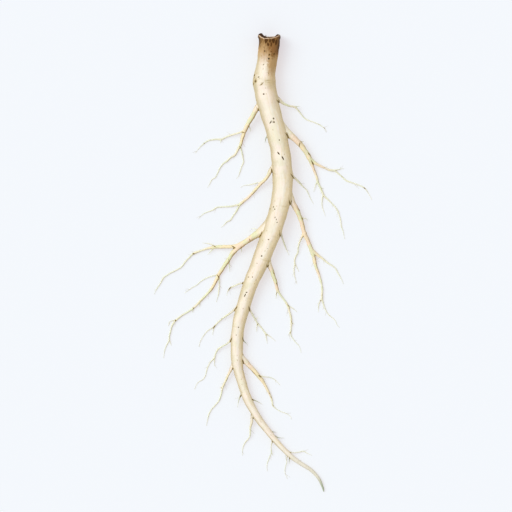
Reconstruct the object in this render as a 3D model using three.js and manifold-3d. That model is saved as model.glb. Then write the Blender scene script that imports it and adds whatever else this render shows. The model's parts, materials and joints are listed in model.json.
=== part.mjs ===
// Burdock root: a long taproot with two rows of side roots, cut at the crown and lying on a flat surface.
// Millimetres, +Z up. The crown end points along +Y and the tip along -Y. The origin lies on the
// surface, under the middle of the root's box. The root is one living piece, so it is one solid.
import * as THREE from "three";
import { mergeVertices } from "three/addons/utils/BufferGeometryUtils.js";
import Module from "manifold-3d";

// Driving dimensions
const TAPROOT_SIDES = 18;
const TAPROOT_STEP = 5.5;
const SIDE_ROOT_STEP = 6.5;
const THINNEST = 0.7;
const FLOOR_GAP = 0.2;
const UNDERSIDE_CLEARANCE = 0.7;
const PAD_DEPTH = 0.9;
const PAD_LENGTH = 24;
const FALL_PER_DIAMETER = 9;
const SHORTEST_FALL = 12;
const THICK_SIDE_ROOT = 6;
const MIDDLE_SIDE_ROOT = 3.7;
const SIDES = { thick: 8, middle: 6, thin: 5 };

// Uneven growth of the skin: each pattern's share of the radius, and its turn in radians per mm along Y.
const TAPROOT_GROWTH = {
  oval: 0.022,
  ovalTurn: 0.021,
  furrow: 0.014,
  furrowTurn: 0.034,
  ring: 0.012,
  ringTurn: 0.31,
};
const SIDE_ROOT_GROWTH = {
  oval: 0.05,
  ovalTurn: 0.7,
  furrow: 0.03,
  furrowTurn: 0.4,
  ring: 0.02,
  ringTurn: 0.9,
};

// The three places along Y where the underside is pressed flat and carries the root.
const PADS_Y = [180.5, 77.5, -86];

// Taproot, from just under the crown to the tip, as [x, y, diameter].
const TAPROOT = [
  [6.6, 218, 20.9],
  [5.8, 212.5, 20.5],
  [4.4, 202.5, 19.7],
  [2.7, 192.5, 20.6],
  [1.9, 187.5, 21.7],
  [1.4, 180.5, 24],
  [2.5, 172.5, 22.4],
  [4.4, 162.5, 22.4],
  [7, 152.5, 21.4],
  [9.7, 142.5, 20.7],
  [12.6, 132.5, 20.3],
  [15, 122.5, 20.1],
  [17, 112.5, 19.8],
  [18.2, 102.5, 20],
  [19.1, 92.5, 20],
  [19.6, 82.5, 20.2],
  [19.3, 72.5, 20.2],
  [17.9, 62.5, 19.3],
  [15.6, 52.5, 18.6],
  [12.7, 42.5, 18.2],
  [9.5, 32.5, 18.5],
  [5.8, 22.5, 17.9],
  [1.9, 12.5, 17.6],
  [-1.9, 2.5, 17],
  [-6.2, -7.5, 15.6],
  [-10.8, -17.5, 14.5],
  [-14.6, -27.5, 14.2],
  [-17.7, -37.5, 13.4],
  [-20.7, -47.5, 13.7],
  [-23.4, -57.5, 12.9],
  [-25.2, -67.5, 12.4],
  [-26, -77.5, 12.5],
  [-26.2, -87.5, 12.3],
  [-26.1, -97.5, 11.9],
  [-24.5, -107.5, 10.3],
  [-21.8, -117.5, 9.4],
  [-18.9, -127.5, 9.4],
  [-15, -137.5, 9.2],
  [-9.8, -147.5, 8.1],
  [-3.7, -157.5, 7.3],
  [4, -167.5, 6.8],
  [12, -177.5, 5.9],
  [21.2, -187.5, 5],
  [27.5, -193.5, 4.9],
  [35, -199.2, 4.2],
  [42, -203.7, 4],
  [47, -206.8, 3.7],
  [52, -211.5, 3.3],
  [56.5, -217.3, 2.8],
  [59, -223, 2.1],
  [60.3, -226.5, 1.7],
  [60.7, -229.1, 1],
];

// Torn edge of the crown, as [angle, y]: 90 degrees is the top of the rim and 180 its left side.
const CROWN_CENTRE_X = 6.7;
const CROWN_DIAMETER = 22;
const CROWN_RIM = [
  [0, 227.2],
  [32, 226],
  [60, 224],
  [90, 223.8],
  [120, 224.2],
  [152, 226.2],
  [180, 228],
  [219, 229.7],
  [250, 226.6],
  [270, 227.3],
  [292, 226.2],
  [321, 228.1],
];
// Cup behind the rim, as [share of the rim's radius, depth behind the rim].
const CROWN_CUP = [
  [0.84, 0.4],
  [0.74, 2.6],
  [0.56, 4.4],
  [0.3, 3.2],
];
const CROWN_HEART_DEPTH = 2.4;

// Side roots, as the root that each grows from and its route of [x, y, diameter].
// The first point is sunk in the parent. A side root leaves at its parent's height and falls to the surface.
const SIDE_ROOTS = {
  leftNub: { from: "taproot", route: [[6.5, 128, 2.2], [3.3, 125, 1.6], [1.8, 119.5, 0.8]] },
  left1: {
    from: "taproot",
    route: [
      [1.5, 163.5, 6.2], [-6, 154.5, 5.2], [-10.5, 146, 4.6], [-15, 138.5, 4.3], [-18.5, 131, 3.8],
      [-20.7, 124.5, 3.3], [-22.7, 117.5, 2.9], [-24.7, 114, 2.4], [-28.5, 107.5, 2.2], [-33, 104.5, 2],
      [-36, 101.5, 2.1], [-40, 99, 1.6], [-42.5, 95.5, 1.5], [-46.5, 87.5, 1.2], [-48, 85, 1.2],
      [-51, 83.3, 1.1], [-53, 79.5, 1], [-55.5, 75, 0.8],
    ],
  },
  left1Upper: {
    from: "left1",
    route: [
      [-17.8, 132, 2.8], [-21, 130.8, 2.4], [-26, 129, 2.2], [-33, 127, 2], [-38, 125, 1.9],
      [-42, 123.2, 2.1], [-49, 123.2, 1.8], [-55, 122, 1.6], [-59, 119.5, 1.5], [-62.5, 116, 0.9],
      [-68, 109.5, 0.7],
    ],
  },
  left1Spur: { from: "left1Upper", route: [[-41.8, 123.4, 1.4], [-42.6, 119.8, 0.8]] },
  left1Lower: {
    from: "left1",
    route: [
      [-22.6, 119, 2.4], [-22.6, 115.5, 2], [-21.3, 111, 1.7], [-20.5, 105.5, 1.6], [-19.7, 100.5, 1.5],
      [-21.5, 95.5, 1.3], [-23.5, 90.5, 1.2], [-24.7, 86.5, 1], [-26.7, 84, 0.8],
    ],
  },
  left1Hair: { from: "left1", route: [[-14.5, 138, 1.4], [-13.2, 134.5, 1], [-12.4, 131, 0.7]] },
  left2: {
    from: "taproot",
    route: [
      [14, 100, 5], [8.8, 94, 4.1], [6.3, 89, 3.6], [3, 84, 3.2], [-2, 79, 3], [-6, 74.5, 3],
      [-10, 70, 2.8], [-14, 66, 2.7], [-18, 62.5, 2.6], [-22.5, 58.8, 2.7], [-24.3, 56, 2.1],
      [-26, 52.5, 1.9], [-28.5, 48.5, 1.7], [-31, 45, 1.6], [-33, 42.3, 1.5], [-36.5, 40.5, 1.5],
      [-39, 37.5, 1.2], [-42, 35, 0.9],
    ],
  },
  left2Upper: {
    from: "left2",
    route: [
      [-20.8, 59.8, 2.6], [-24.5, 58, 2.1], [-33, 56.4, 1.8], [-40, 55.8, 1.6], [-46.5, 55, 1.5],
      [-49.7, 52.7, 1.4], [-54, 51, 1.2], [-59, 49, 1.1], [-62, 46.5, 1], [-64.5, 44, 0.8],
    ],
  },
  left2Twig: {
    from: "left2",
    route: [
      [-1, 79.6, 2], [-4.5, 79.7, 1.5], [-9, 79, 1.2], [-14, 77.8, 1], [-19, 77, 0.9], [-22.5, 75, 0.7],
    ],
  },
  left3: {
    from: "taproot",
    route: [
      [8, 42, 9.2], [1, 34.3, 8.6], [-4.5, 29.7, 7.4], [-10, 25.8, 6.2], [-15, 22.2, 5.6], [-20, 19, 5.2],
      [-24, 15.8, 5.4], [-27.5, 12.5, 4.7], [-31, 8.5, 4.2], [-33.7, 4, 4], [-36.7, -0.5, 3.8],
      [-40.5, -6, 3.5], [-43.5, -10.5, 3.5], [-45.6, -14.5, 3.2], [-47.5, -19, 3.1], [-49.7, -23.5, 3],
      [-52.5, -27.5, 2.8], [-56, -31.5, 2.6], [-59.3, -35, 2.5], [-63, -39, 2.5], [-67, -43, 2.3],
      [-70, -46, 2.3], [-74.5, -49, 2], [-79, -51.5, 2], [-84, -55, 2], [-87.5, -58, 2.2],
      [-90.5, -62.5, 1.9], [-92.5, -67.5, 1.8], [-93.7, -73.5, 1.6], [-94, -77.5, 1.6], [-98.2, -87, 1],
      [-99.6, -95.5, 0.8],
    ],
  },
  left3Upper: {
    from: "left3",
    route: [
      [-21, 18.2, 4.6], [-27, 16.3, 3.8], [-34, 15.7, 3.5], [-41, 15.7, 3.5], [-48, 15.5, 3.2],
      [-54, 14.3, 2.6], [-59, 12.8, 2.2], [-64, 11.2, 2.2], [-68, 9.5, 2.5], [-71, 8, 2.1],
      [-74, 5, 1.8], [-77.5, 1, 1.8], [-80.5, -3, 1.7], [-83, -5.5, 1.6], [-88, -8, 1.6],
      [-93, -10.5, 1.5], [-96.5, -13, 1.5], [-99.5, -15, 1.9], [-101.7, -18.5, 1.4], [-104, -23, 1.3],
      [-106.5, -26.7, 1.1], [-109, -31.8, 0.8],
    ],
  },
  left3Top: { from: "left3", route: [[-3.5, 30.5, 1.8], [-7.5, 33.5, 1.2], [-11.5, 34, 0.7]] },
  left3Under: { from: "left3", route: [[-21.5, 17, 1.7], [-21.6, 13.5, 1.2], [-21.4, 10, 0.8]] },
  left3TwigA: {
    from: "left3Upper",
    route: [
      [-48, 15.8, 1.6], [-52.5, 18.5, 1.2], [-57, 19.3, 1], [-60.5, 19.5, 0.7],
    ],
  },
  left3TwigB: {
    from: "left3Upper",
    route: [
      [-49, 15, 1.8], [-51, 12.6, 1.4], [-53, 10.5, 1.1], [-55.5, 8, 0.8],
    ],
  },
  left3TwigC: {
    from: "left3",
    route: [
      [-34.8, 2.6, 2], [-33.9, -2, 1.5], [-33.6, -6, 1.2], [-33.5, -9.5, 0.9],
    ],
  },
  left3TwigD: {
    from: "left3",
    route: [
      [-44.5, -12.3, 1.9], [-48.5, -12.9, 1.4], [-53, -14, 1.3], [-57, -15.8, 1.2], [-61.5, -18.5, 1.1],
      [-66, -22.5, 1], [-71, -25.2, 0.9], [-76, -29, 0.8], [-78.5, -30.5, 0.7],
    ],
  },
  left3TwigE: {
    from: "left3",
    route: [
      [-44.8, -12.5, 2.4], [-43.9, -18, 1.8], [-43.7, -24, 1.5], [-44.4, -30, 1.5], [-45.2, -34.5, 1],
      [-46.5, -39.5, 0.8],
    ],
  },
  left3NubA: { from: "left3", route: [[-63.2, -39.5, 1.4], [-63.6, -44.5, 0.8]] },
  left3NubB: { from: "left3", route: [[-69.8, -46, 1.3], [-70.6, -50, 0.8]] },
  left3HairA: { from: "left3", route: [[-87, -57.6, 1.4], [-93.5, -59.3, 0.8], [-94.7, -63.5, 0.7]] },
  left3HairB: { from: "left3", route: [[-93.8, -76.5, 1.3], [-92, -83, 0.7]] },
  left4: {
    from: "taproot",
    route: [
      [-14.5, -18.8, 2.9], [-20, -20.5, 2.2], [-24, -21.5, 2], [-29, -23.5, 1.8], [-33, -25.5, 1.9],
      [-35.5, -29.5, 1.2], [-36.5, -33, 0.8],
    ],
  },
  left5: {
    from: "taproot",
    route: [
      [-21.5, -41, 4], [-26.3, -45.3, 3], [-30, -48.5, 2.5], [-34, -51.5, 2.1], [-38.5, -54.5, 1.9],
      [-42, -57.5, 1.8], [-46, -61, 1.8], [-49.3, -65, 1.7], [-50, -68.5, 1.1], [-50.5, -72.5, 0.8],
    ],
  },
  left5Hair: {
    from: "left5",
    route: [
      [-48.6, -64.2, 1.5], [-55.4, -68.3, 1], [-59.2, -72.7, 0.9], [-62.3, -78, 0.8],
      [-64.5, -84.5, 0.7],
    ],
  },
  left6: {
    from: "taproot",
    route: [
      [-27.5, -70, 4.2], [-31.2, -75.6, 3], [-33.4, -78.7, 2.2], [-37, -82, 1.8], [-41, -84, 1.8],
      [-44.7, -86.3, 2.2], [-47.5, -91.5, 1.5], [-48.7, -95, 1.8], [-52.5, -99.5, 1.3],
      [-55.5, -105.5, 1.2], [-57.5, -112.5, 1], [-60, -116.8, 0.9], [-65.3, -120.5, 0.8],
      [-68.8, -127, 0.7],
    ],
  },
  left6Twig: { from: "left6", route: [[-48.4, -94, 1.5], [-48.6, -99, 1], [-48.5, -104, 0.7]] },
  left7: {
    from: "taproot",
    route: [
      [-28, -99, 4.6], [-31.2, -105, 3.4], [-33.2, -109.5, 2.8], [-35.5, -114.5, 2.5], [-37.9, -119.5, 2.3],
      [-40.3, -125, 2.3], [-41.7, -131.5, 1.8], [-44, -138, 1.7], [-47.5, -142.5, 1.4],
      [-51.7, -147, 1.4], [-54.3, -152, 1.4], [-55.7, -158.2, 1], [-56.7, -163.5, 0.8],
    ],
  },
  left7Nub: { from: "left7", route: [[-39.8, -124.3, 1.5], [-43.3, -125.4, 0.8]] },
  left8: {
    from: "taproot",
    route: [
      [-20, -129, 2.8], [-22.6, -133.5, 1.9], [-24.4, -138.5, 1.2], [-25.7, -144.8, 0.7],
    ],
  },
  left9: {
    from: "taproot",
    route: [
      [-8.7, -150, 4.4], [-11, -155, 3.3], [-11.2, -159, 2.7], [-12.4, -163.5, 2.3], [-12.8, -168.5, 2],
      [-13.2, -174.5, 1.6], [-15.5, -177.7, 1.4], [-18.7, -182, 1.2], [-20.3, -186.5, 1],
      [-20.9, -193, 0.8],
    ],
  },
  left10: {
    from: "taproot",
    route: [
      [11, -176, 2.8], [9.1, -179.7, 1.8], [8.3, -185, 1.2], [8.2, -191, 1.1], [6, -196, 1],
      [4.1, -202, 0.9], [4.2, -209, 0.7],
    ],
  },
  left10Spur: { from: "left10", route: [[8.1, -188.5, 1.2], [9.6, -193.5, 0.7]] },
  left11: {
    from: "taproot",
    route: [
      [25.5, -191, 2.6], [23.8, -194.8, 1.5], [23.6, -200.5, 1], [22.1, -205.5, 0.9], [21.9, -210, 0.8],
      [24.3, -216.5, 0.7],
    ],
  },
  left11Twig: { from: "taproot", route: [[27.3, -193.4, 2], [26.4, -197.2, 1.1], [26.3, -201.5, 0.7]] },
  right1: {
    from: "taproot",
    route: [
      [9, 168, 5.2], [15.5, 163, 3.7], [18.5, 160.5, 3], [22, 158.2, 2.6], [27, 156.5, 2.2],
      [31.5, 155.5, 2.3], [34.5, 153, 1.8], [37.5, 149.5, 1.6], [41, 145, 1.5], [45, 142.5, 1.4],
      [51, 140.5, 1.4], [56, 138.3, 1.3], [59.5, 136, 1.2], [62, 134, 1], [63.5, 131, 0.7],
    ],
  },
  right1Twig: { from: "right1", route: [[30.8, 155.8, 1.5], [37, 156.4, 0.8]] },
  right2: {
    from: "taproot",
    route: [
      [14.5, 139.5, 9], [21, 133.7, 7.6], [27, 128, 6.6], [32.3, 123, 6], [36.5, 119, 5.6],
      [39.7, 115, 5], [42.5, 111, 4.7], [45, 107, 4.7], [47.3, 102.5, 4.4], [48.7, 98.7, 3.2],
      [50.5, 94.3, 2.8], [52.5, 89, 2.6], [54, 84.5, 2.6], [55.3, 79.5, 2.3], [57.5, 74.5, 2.2],
      [59.5, 70, 2.1], [61.3, 66.5, 2.1], [65, 63, 1.7], [69, 59, 1.6], [72.5, 55, 1.6],
      [74.7, 51.7, 1.8], [76.5, 47, 1.4], [78, 41.5, 1.3], [78.4, 36.5, 1.3], [80, 31.5, 1],
      [82, 23.5, 0.7],
    ],
  },
  right2Upper: {
    from: "right2",
    route: [
      [46, 104.7, 4], [51.5, 100, 3.1], [56.5, 97, 2.7], [62, 94.5, 2.4], [67, 92.4, 2.4],
      [72, 91.7, 2.1], [75.5, 89, 1.9], [79.5, 85.5, 1.8], [83.5, 81.9, 1.8], [88, 80.2, 1.6],
      [93, 78.5, 1.5], [97.5, 77, 1.5], [101.5, 74.5, 1.7], [104, 71.5, 1], [107, 67, 0.8],
      [109, 63, 0.7],
    ],
  },
  right2Twig: { from: "right2", route: [[36, 119.8, 1.9], [41, 121.4, 0.8]] },
  right2TwigA: { from: "right2Upper", route: [[69.5, 92, 1.9], [76, 93.3, 1.1], [81, 94.3, 0.7]] },
  right2TwigB: { from: "right2", route: [[54.7, 82, 1.7], [52.2, 76, 1.1], [51, 71, 0.7]] },
  right2TwigC: {
    from: "right2",
    route: [[60.3, 68.5, 1.8], [59, 61.5, 1.2], [59.2, 55.5, 1], [60.8, 51, 0.8], [62.5, 46.5, 0.7]],
  },
  right2Nub: { from: "right2", route: [[57, 75.5, 1.5], [60.6, 74, 0.8]] },
  right3: {
    from: "taproot",
    route: [
      [21.5, 94, 4.6], [28, 88, 3.2], [32, 84, 2.5], [36, 80.2, 2.1], [40, 76, 1.6], [43.5, 72.5, 1.2],
      [46.8, 65.3, 0.9], [50.6, 58.6, 0.7],
    ],
  },
  right4: {
    from: "taproot",
    route: [
      [22, 75, 8.4], [27.3, 65.5, 6.6], [30.5, 58.5, 5.6], [33.5, 52.5, 5.1], [36.4, 46.5, 4.8],
      [38.5, 41, 4.4], [40.1, 34.5, 4.2], [42, 28, 4.2], [44.5, 22.5, 4], [47, 16.5, 4],
      [49.3, 10.5, 4.1], [50.7, 5, 3.5], [52, -0.5, 3.2], [54, -7, 2.9], [56, -13, 2.6],
      [57.9, -18.5, 2.3], [59, -24.5, 2.1], [59.2, -30.5, 2.1], [59.2, -35.5, 2.2], [59.7, -39, 1.9],
      [61, -43.5, 1.6], [63.5, -49, 1.3], [66.5, -53, 1], [70, -55.5, 0.9], [72.5, -58.5, 0.8],
      [74, -62.5, 0.8], [76.5, -65, 0.7],
    ],
  },
  right4Twig: { from: "right4", route: [[38, 43.8, 1.9], [42.5, 44.2, 1.1], [44.8, 41.7, 0.7]] },
  right4Left: {
    from: "right4",
    route: [
      [42, 29.5, 3.4], [39.6, 26.8, 2.6], [38, 23.5, 2.2], [36, 18.5, 1.9], [35, 13.5, 1.7],
      [34.8, 10, 1.7], [33, 6.5, 1.6], [31.8, 2.5, 1.7], [31.9, -2, 1.6], [31.1, -6.5, 1.3],
      [31.3, -12.5, 1.2], [32.5, -17, 1], [33.8, -21.5, 0.7],
    ],
  },
  right4LeftTwig: { from: "right4Left", route: [[31.8, -0.5, 1.4], [34, -5.5, 1], [36, -9, 0.7]] },
  right4Right: {
    from: "right4",
    route: [
      [48.8, 12.5, 3.9], [54.3, 7.5, 2.9], [58.5, 4.5, 2.4], [62, 1.7, 2.1], [65.5, -1, 1.9],
      [69.5, -3.5, 1.7], [72.5, -6, 1.6], [74.7, -10, 1.4], [77, -14, 1.2], [79.3, -18.5, 1],
      [80.5, -21.5, 0.8],
    ],
  },
  right4End: {
    from: "right4",
    route: [
      [59.3, -34.5, 2], [57.3, -38.5, 1.5], [55.8, -42, 1.2], [55.3, -49.5, 0.8],
    ],
  },
  right5: {
    from: "taproot",
    route: [[13, 37, 4.2], [18, 28.5, 2.7], [20, 22.5, 2], [22, 16.5, 1.6], [24, 12, 1.2], [26, 7.5, 0.8]],
  },
  right6: {
    from: "taproot",
    route: [
      [0, 9.5, 6.8], [5.3, 1, 5], [7.7, -5.5, 4.3], [10, -11.5, 4], [12, -18, 3.5], [13.8, -24.5, 3.1],
      [15, -28.8, 2.8], [18, -33.5, 2.2], [22, -39, 2.2], [25, -43.5, 2.5], [26.6, -48.5, 2.2],
      [27.8, -54.5, 2.2], [28.3, -60.5, 2.2], [27.9, -66.5, 1.8], [27.7, -72, 1.5], [31.6, -78.8, 0.9],
      [35.4, -82.6, 0.8], [37.1, -86.5, 0.7], [37.9, -90.3, 0.7],
    ],
  },
  right6TwigA: { from: "right6", route: [[14.6, -27.5, 2], [13.3, -32, 1.2], [13, -36.3, 0.8]] },
  right6TwigB: { from: "right6", route: [[24.6, -43, 1.7], [30, -46, 1.1], [34, -49.5, 0.7]] },
  right6TwigC: { from: "right6", route: [[27.9, -68, 1.5], [25.4, -73.5, 0.7]] },
  right6Nub: { from: "right6", route: [[28.2, -60, 1.5], [30.8, -61.6, 0.8]] },
  right7: {
    from: "taproot",
    route: [
      [-18, -39.5, 3.8], [-13, -47.5, 2.4], [-10, -53, 2], [-7.2, -58, 1.8], [-5, -61.5, 1.9],
      [-1, -66, 1.7], [2.5, -71, 1.8], [7.3, -74.2, 1.2], [12.7, -78.8, 0.7],
    ],
  },
  right7Left: { from: "right7", route: [[2.2, -70.2, 1.6], [3.5, -76, 1.1], [4.3, -81, 0.7]] },
  right7Spur: { from: "right7", route: [[-7.8, -57.8, 1.5], [-5, -54.2, 0.7]] },
  right7Twig: { from: "right7", route: [[-5.3, -61, 1.5], [-6.2, -65, 1], [-6.4, -69.3, 0.7]] },
  right8: { from: "taproot", route: [[-23, -73, 2.4], [-19.4, -78, 1.3], [-15.2, -83, 0.7]] },
  right9: {
    from: "taproot",
    route: [
      [-24.5, -91.5, 6.8], [-19, -97.5, 5.4], [-15.5, -101.3, 4.8], [-11.5, -105.3, 4.3],
      [-7.6, -109.5, 4], [-4, -114, 4], [-1, -117.7, 3.3], [1.5, -121.5, 2.9], [3.6, -125.5, 2.7],
      [5.5, -129.3, 2.5], [7.8, -135, 2.2], [9.3, -139.5, 1.9], [10.2, -143.5, 1.7], [13, -146.3, 1],
      [18, -149.2, 0.9], [24, -151.5, 0.8], [27.5, -154.3, 0.7], [28.6, -157, 0.7],
    ],
  },
  right9Twig: {
    from: "right9",
    route: [[-3.4, -113.3, 2], [2, -114.5, 1.3], [7, -115.2, 1.1], [11.5, -117.3, 0.9], [17, -122.8, 0.7]],
  },
  right10: {
    from: "taproot",
    route: [
      [-14, -135.5, 2.6], [-10, -137.3, 1.6], [-6.4, -138.8, 1.1], [-1, -141.9, 0.7],
    ],
  },
  right11: { from: "taproot", route: [[5.5, -167.5, 2.4], [9.3, -169.3, 1.2], [12.8, -169.7, 0.7]] },
  right11Low: { from: "taproot", route: [[9.5, -173, 2.2], [16, -175.3, 1], [21, -175.5, 0.7]] },
  right12: {
    from: "taproot",
    route: [
      [23.8, -188.5, 2.6], [27.5, -189.8, 1.5], [31, -190.5, 1.1], [36.5, -189.7, 1.1],
      [40.6, -188.7, 1.2], [44.5, -191.2, 0.9], [49, -193, 0.7],
    ],
  },
};

const UP = new THREE.Vector3(0, 0, 1);
const RADIANS = Math.PI / 180;

const skin = new THREE.MeshStandardMaterial({ color: 0xeadcbf, roughness: 0.72, metalness: 0 });

// Eases from 0 to 1 with flat ends.
function smooth(share) {
  const held = Math.min(1, Math.max(0, share));
  return held * held * (3 - 2 * held);
}

// Gap under the taproot at a place along Y: negative where a pad presses it into the surface.
function undersideGap(y) {
  const pressAt = (pad) => Math.exp(-(((y - pad) / (PAD_LENGTH / 2)) ** 4));
  const press = Math.max(...PADS_Y.map(pressAt));
  return UNDERSIDE_CLEARANCE - (UNDERSIDE_CLEARANCE + PAD_DEPTH) * press;
}

// How far the skin stands from a true round at an angle and a place along Y, as a factor on the radius.
function growthAt({ oval, ovalTurn, furrow, furrowTurn, ring, ringTurn }, angle, y) {
  const ovalShare = oval * Math.cos(2 * angle + y * ovalTurn);
  const furrowShare = furrow * Math.cos(3 * angle - y * furrowTurn);
  const ringShare = ring * Math.sin(Math.sin(angle) + y * ringTurn);
  return 1 + ovalShare + furrowShare + ringShare;
}

// Stations at even steps along a smooth line through the route, with the diameter at each.
function follow(points, diameters, step) {
  const line = new THREE.CatmullRomCurve3(points, false, "centripetal");
  const spans = points.length - 1;
  const count = Math.max(2, Math.round(line.getLength() / step));
  return Array.from({ length: count + 1 }, (_, i) => {
    const t = line.getUtoTmapping(i / count);
    const span = Math.min(spans - 1, Math.floor(t * spans));
    return {
      centre: line.getPoint(t),
      along: line.getTangent(t),
      diameter: THREE.MathUtils.lerp(diameters[span], diameters[span + 1], t * spans - span),
    };
  });
}

// A ring of points round a station, starting on the underside.
function ring(station, sides, growth) {
  const side = new THREE.Vector3().crossVectors(station.along, UP).normalize();
  const up = new THREE.Vector3().crossVectors(side, station.along);
  return Array.from({ length: sides }, (_, k) => {
    const angle = (2 * Math.PI * k) / sides - Math.PI / 2;
    const radius = (station.diameter / 2) * growthAt(growth, angle, station.centre.y);
    return station.centre
      .clone()
      .addScaledVector(side, radius * Math.cos(angle))
      .addScaledVector(up, radius * Math.sin(angle));
  });
}

// Closed skin over a row of rings, with a point at each end.
function closedSkin(rings, startPoint, endPoint) {
  const sides = rings[0].length;
  const corners = [startPoint, ...rings.flat(), endPoint];
  const last = corners.length - 1;
  const at = (row, k) => 1 + row * sides + (k % sides);
  const faces = [];
  for (let k = 0; k < sides; k++) {
    faces.push(0, at(0, k), at(0, k + 1));
    for (let row = 0; row < rings.length - 1; row++) {
      faces.push(at(row, k), at(row + 1, k), at(row + 1, k + 1));
      faces.push(at(row, k), at(row + 1, k + 1), at(row, k + 1));
    }
    faces.push(last, at(rings.length - 1, k + 1), at(rings.length - 1, k));
  }
  const geometry = new THREE.BufferGeometry();
  const places = corners.flatMap((corner) => corner.toArray());
  geometry.setAttribute("position", new THREE.Float32BufferAttribute(places, 3));
  geometry.setIndex(faces);
  return geometry;
}

// Y of the torn crown rim at an angle round it.
function rimAt(angle) {
  const degrees = (((angle / RADIANS) % 360) + 360) % 360;
  const next = CROWN_RIM.findIndex(([place]) => place > degrees);
  const to = next < 0 ? [360, CROWN_RIM[0][1]] : CROWN_RIM[next];
  const from = next < 0 ? CROWN_RIM[CROWN_RIM.length - 1] : CROWN_RIM[next - 1];
  return THREE.MathUtils.lerp(from[1], to[1], smooth((degrees - from[0]) / (to[0] - from[0])));
}

// Crown ring at a share of the rim's radius, a depth behind the torn rim.
function crownRing(share, depth, height) {
  return Array.from({ length: TAPROOT_SIDES }, (_, k) => {
    const angle = (2 * Math.PI * k) / TAPROOT_SIDES - Math.PI / 2;
    const radius = (CROWN_DIAMETER / 2) * share * growthAt(TAPROOT_GROWTH, angle, rimAt(Math.PI / 2));
    // The rings of the taproot start on their -X side, because it runs towards -Y, so these do too.
    const x = CROWN_CENTRE_X - radius * Math.cos(angle);
    return new THREE.Vector3(x, rimAt(Math.PI - angle) - depth, height + radius * Math.sin(angle));
  });
}

// The taproot with its crown cup, its underside pressed flat at the pads.
function makeTaproot() {
  const points = TAPROOT.map(([x, y, diameter]) => {
    const under = (diameter / 2) * growthAt(TAPROOT_GROWTH, -Math.PI / 2, y);
    return new THREE.Vector3(x, y, under + undersideGap(y));
  });
  const stations = follow(points, TAPROOT.map((place) => place[2]), TAPROOT_STEP);
  const height = stations[0].centre.z + (CROWN_DIAMETER - TAPROOT[0][2]) / 2;
  const cup = [...CROWN_CUP].reverse().map(([share, depth]) => crownRing(share, depth, height));
  const rim = crownRing(1, 0, height);
  const body = stations.map((station) => ring(station, TAPROOT_SIDES, TAPROOT_GROWTH));
  body.flat().forEach((corner) => (corner.z = Math.max(corner.z, 0)));
  const heart = new THREE.Vector3(CROWN_CENTRE_X, rimAt(Math.PI / 2) - CROWN_HEART_DEPTH, height);
  const tip = stations[stations.length - 1];
  const end = tip.centre.clone().addScaledVector(tip.along, tip.diameter / 2);
  return { stations, geometry: closedSkin([...cup, rim, ...body], heart, end) };
}

// Height of a root's middle line at the station nearest to a place.
function heightOn(stations, x, y) {
  const away = (station) => Math.hypot(station.centre.x - x, station.centre.y - y);
  return stations.reduce((near, station) => (away(station) < away(near) ? station : near)).centre.z;
}

// Sides of a side root: more on the thick ones.
function sidesFor(diameter) {
  if (diameter > THICK_SIDE_ROOT) return SIDES.thick;
  return diameter > MIDDLE_SIDE_ROOT ? SIDES.middle : SIDES.thin;
}

// A side root that leaves its parent at the parent's height and falls to the surface.
function makeSideRoot(route, parentStations) {
  const startHeight = heightOn(parentStations, route[0][0], route[0][1]);
  const fall = Math.max(SHORTEST_FALL, FALL_PER_DIAMETER * route[0][2]);
  const diameters = route.map((place) => Math.max(THINNEST, place[2]));
  let run = 0;
  const points = route.map(([x, y], i) => {
    if (i > 0) run += Math.hypot(x - route[i - 1][0], y - route[i - 1][1]);
    const lowest = diameters[i] / 2 + FLOOR_GAP;
    const highest = Math.max(startHeight, lowest);
    return new THREE.Vector3(x, y, THREE.MathUtils.lerp(highest, lowest, smooth(run / fall)));
  });
  const stations = follow(points, diameters, SIDE_ROOT_STEP);
  const rings = stations.map((station) => ring(station, sidesFor(route[0][2]), SIDE_ROOT_GROWTH));
  rings.flat().forEach((corner) => (corner.z = Math.max(corner.z, FLOOR_GAP)));
  const tip = stations[stations.length - 1];
  const end = tip.centre.clone().addScaledVector(tip.along, tip.diameter / 2);
  return { stations, geometry: closedSkin(rings, stations[0].centre, end) };
}

const wasm = await Module();
wasm.setup();

// A closed geometry as a solid that can be joined.
function solidOf(geometry) {
  const merged = mergeVertices(geometry, 1e-4);
  return new wasm.Manifold(
    new wasm.Mesh({
      numProp: 3,
      vertProperties: merged.attributes.position.array,
      triVerts: new Uint32Array(merged.index.array),
    }),
  );
}

// The whole root: every side root joined to the taproot.
function makeRoot() {
  const made = { taproot: makeTaproot() };
  let whole = solidOf(made.taproot.geometry);
  for (const [name, { from, route }] of Object.entries(SIDE_ROOTS)) {
    made[name] = makeSideRoot(route, made[from].stations);
    whole = whole.add(solidOf(made[name].geometry));
  }
  const mesh = whole.getMesh();
  const geometry = new THREE.BufferGeometry();
  geometry.setAttribute("position", new THREE.BufferAttribute(mesh.vertProperties, 3));
  geometry.setIndex(new THREE.BufferAttribute(mesh.triVerts, 1));
  geometry.computeVertexNormals();
  return geometry;
}

const root = new THREE.Mesh(makeRoot(), skin);
root.name = "root";

const burdock = new THREE.Group();
burdock.add(root);

export default burdock;
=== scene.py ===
"""Burdock root lying on a pale studio floor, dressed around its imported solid.

The taproot and its side roots are tubes laid along the same lines as the solid's. They are grown together
into one skin with rounded forks, which then gets its wrinkles, rings, pores and torn crown. Fine hairs and
the torn fibres of the crown are pieces of their own. Places and sizes are in millimetres, as in the part's
source, and become metres where a mesh is made.
"""
import json
import logging
import math
from dataclasses import dataclass, field
from enum import Enum

import bmesh
import bpy
import numpy as np
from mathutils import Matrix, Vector, noise

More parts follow.
